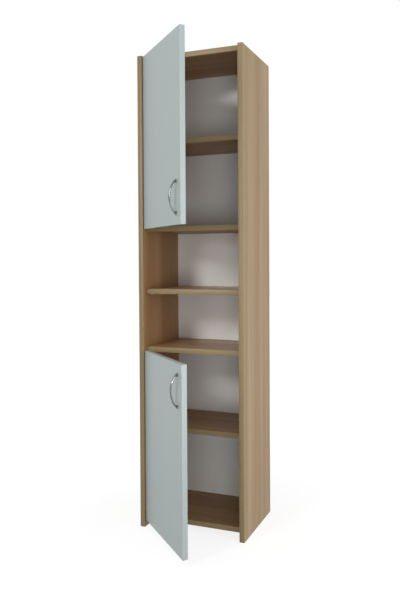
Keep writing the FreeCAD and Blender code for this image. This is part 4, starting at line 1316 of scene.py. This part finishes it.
@dataclass
class Door:
    """One door with its edging, hinge cups, links, handle and their screws."""

    name: str
    pale: Material
    chrome: Material
    nickel: Material
    ease: float = 0.55
    metal_ease: float = 0.2
    flange_corner: float = 5.0
    flange: float = 1.2
    slack: float = 1.05
    near: float = 0.02
    handle_screw_grip: float = 7.0
    handle: BowHandle = field(default_factory=BowHandle)
    cup_screw: Screw = Screw("cup_screws", 1.7, 3.4, 1.4, 1.2)
    handle_screw: Screw = Screw("handle_bolts", 2.0, 4.0, 2.2, 0.8, blunt=0.8)
    cup_pin: Turned = Turned("cup_rivets", ((0.0, 0.7), (0.25, 1.0), (15.75, 1.0), (16.0, 0.7)), 16)

    def __post_init__(self) -> None:
        """Finds the door's own frame from its hinge joint."""
        joint = next(j for j in frame["joints"] if j["name"] == f"{self.name}_door_hinge")
        opening = math.radians(-joint["range_deg"][0])
        self.axis = Vector((joint["pos_m"][0], joint["pos_m"][1], 0.0))
        self.across = Vector((math.cos(opening), -math.sin(opening), 0.0))
        self.inward = Vector((math.sin(opening), math.cos(opening), 0.0))

    def local(self, place: Vector) -> Vector:
        """A place in the door's own frame: across, inward, up."""
        off = place - self.axis
        return Vector((off.dot(self.across), off.dot(self.inward), place.z))

    def build(self) -> None:
        """Makes the pieces of the door in order."""
        dress(f"{self.name}_door", self.pale)
        self.make_edging()
        self.make_hinge_cups()
        self.make_fasteners()
        self.make_handle()
        node = f"{self.name}_hinge_links"
        bends = softened(node, f"{self.name}_hinge_bends", self.nickel, self.metal_ease * MM)
        fit(bends, f"{self.name}_links", "plated_steel", node)

    def reach(self, part: str) -> tuple[Vector, ...]:
        """The extents of one of the door's CAD nodes, in the door's own frame."""
        return extents([self.local(c) for solid in solids(f"{self.name}_{part}") for c in solid])

    def make_edging(self) -> None:
        """Four edge strips, the upright ones full length, with their outer arrises eased."""
        low, high = self.reach("door_edge_strips")
        core_low, core_high = self.reach("door")
        strips = (
            ((low.x, low.z), (core_low.x, high.z)),
            ((core_high.x, low.z), (high.x, high.z)),
            ((core_low.x, low.z), (core_high.x, core_low.z)),
            ((core_low.x, core_high.z), (core_high.x, high.z)),
        )
        shape = bmesh.new()
        for (left, bottom), (right, top) in strips:
            size = Vector((right - left, high.y - low.y, top - bottom))
            middle = Vector(((left + right) / 2, (low.y + high.y) / 2, (bottom + top) / 2))
            block = Matrix.Translation(middle) @ Matrix.Diagonal((*size, 1.0))
            corners = bmesh.ops.create_cube(shape, size=1.0, matrix=block)["verts"]
            flat = 0 if size.x < size.z else 2
            face = (low, high)[middle[flat] > (core_low[flat] + core_high[flat]) / 2][flat]
            rim = [corner for corner in corners if abs(corner.co[flat] - face) < self.near * MM]
            outer = [edge for edge in shape.edges if all(corner in rim for corner in edge.verts)]
            rounded(shape, outer, self.ease * MM, 3)
        turn = Matrix((self.across, self.inward, UP)).transposed().to_4x4()
        bmesh.ops.transform(shape, matrix=Matrix.Translation(self.axis) @ turn, verts=shape.verts)
        piece = poured(f"{self.name}_door_banding", shape, self.pale)
        fit(piece, f"{self.name}_door", "white_edging", f"{self.name}_door_edge_strips")

    def make_hinge_cups(self) -> None:
        """Cups whose flanges have round corners and soft edges."""
        node = f"{self.name}_hinge_cups"
        thick, near = self.flange * MM, self.near * MM
        top = self.reach("hinge_cups")[1].y

        def flange_corner(edge: Edge) -> bool:
            """True for the short edges through the flange, at its four corners."""
            a, b = (self.local(corner.co) for corner in edge.verts)
            return abs(abs(a.y - b.y) - thick) < near and (a - b).length < self.slack * thick

        def on_flange(edge: Edge) -> bool:
            """True for an edge of the flange's visible face."""
            return all(self.local(corner.co).y > top - near for corner in edge.verts)

        piece = softened(node, f"{self.name}_hinge_bowls", self.nickel, self.metal_ease * MM,
                         on_flange, (flange_corner, self.flange_corner * MM))
        fit(piece, f"{self.name}_door", "plated_steel", node)

    def make_fasteners(self) -> None:
        """Screws and pins, on the seats of their CAD solids."""
        for kind, node, aim in (
            (self.cup_screw, "hinge_cup_screws", self.inward),
            (self.handle_screw, "handle_screws", self.inward),
            (self.cup_pin, "hinge_cup_pins", UP),
        ):
            node = f"{self.name}_{node}"
            kind = replace(kind, name=f"{self.name}_{kind.name}")
            piece = kind.build(self.nickel, seats(node, aim))
            fit(piece, f"{self.name}_door", "plated_steel", node)

    def make_handle(self) -> None:
        """The bow handle, centred between its two screws."""
        screws = seats(f"{self.name}_handle_screws", self.inward)
        middle = sum((seat.foot for seat in screws), Vector()) / len(screws)
        foot = middle + self.inward * self.handle_screw_grip * MM
        piece = self.handle.build(f"{self.name}_bow_handle", self.chrome, foot, -self.inward)
        fit(piece, f"{self.name}_door", "chrome_bar", f"{self.name}_handle")


def main() -> None:
    """Builds the scene in order and reports each piece."""
    logging.basicConfig(level=logging.INFO)
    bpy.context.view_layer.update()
    Camera().build()
    Studio().build()
    pale = PaleLaminate().make("pale_door")
    chrome = Metal((0.19, 0.20, 0.20), (0.16, 0.17, 0.17), 0.08, 0.02).make("chrome")
    nickel = Metal((0.60, 0.59, 0.56), (0.55, 0.54, 0.51), 0.30, 0.03).make("nickel")
    zinc = Metal((0.48, 0.48, 0.47), (0.38, 0.38, 0.37), 0.45, 0.08).make("zinc")
    Boards().build()
    Edging().build()
    Fittings(nickel, zinc, TurnedBeech().make("beech")).build()
    HingeArms(nickel).build()
    for name in ("upper", "lower"):
        Door(name, pale, chrome, nickel).build()


if __name__ == "__main__":
    main()
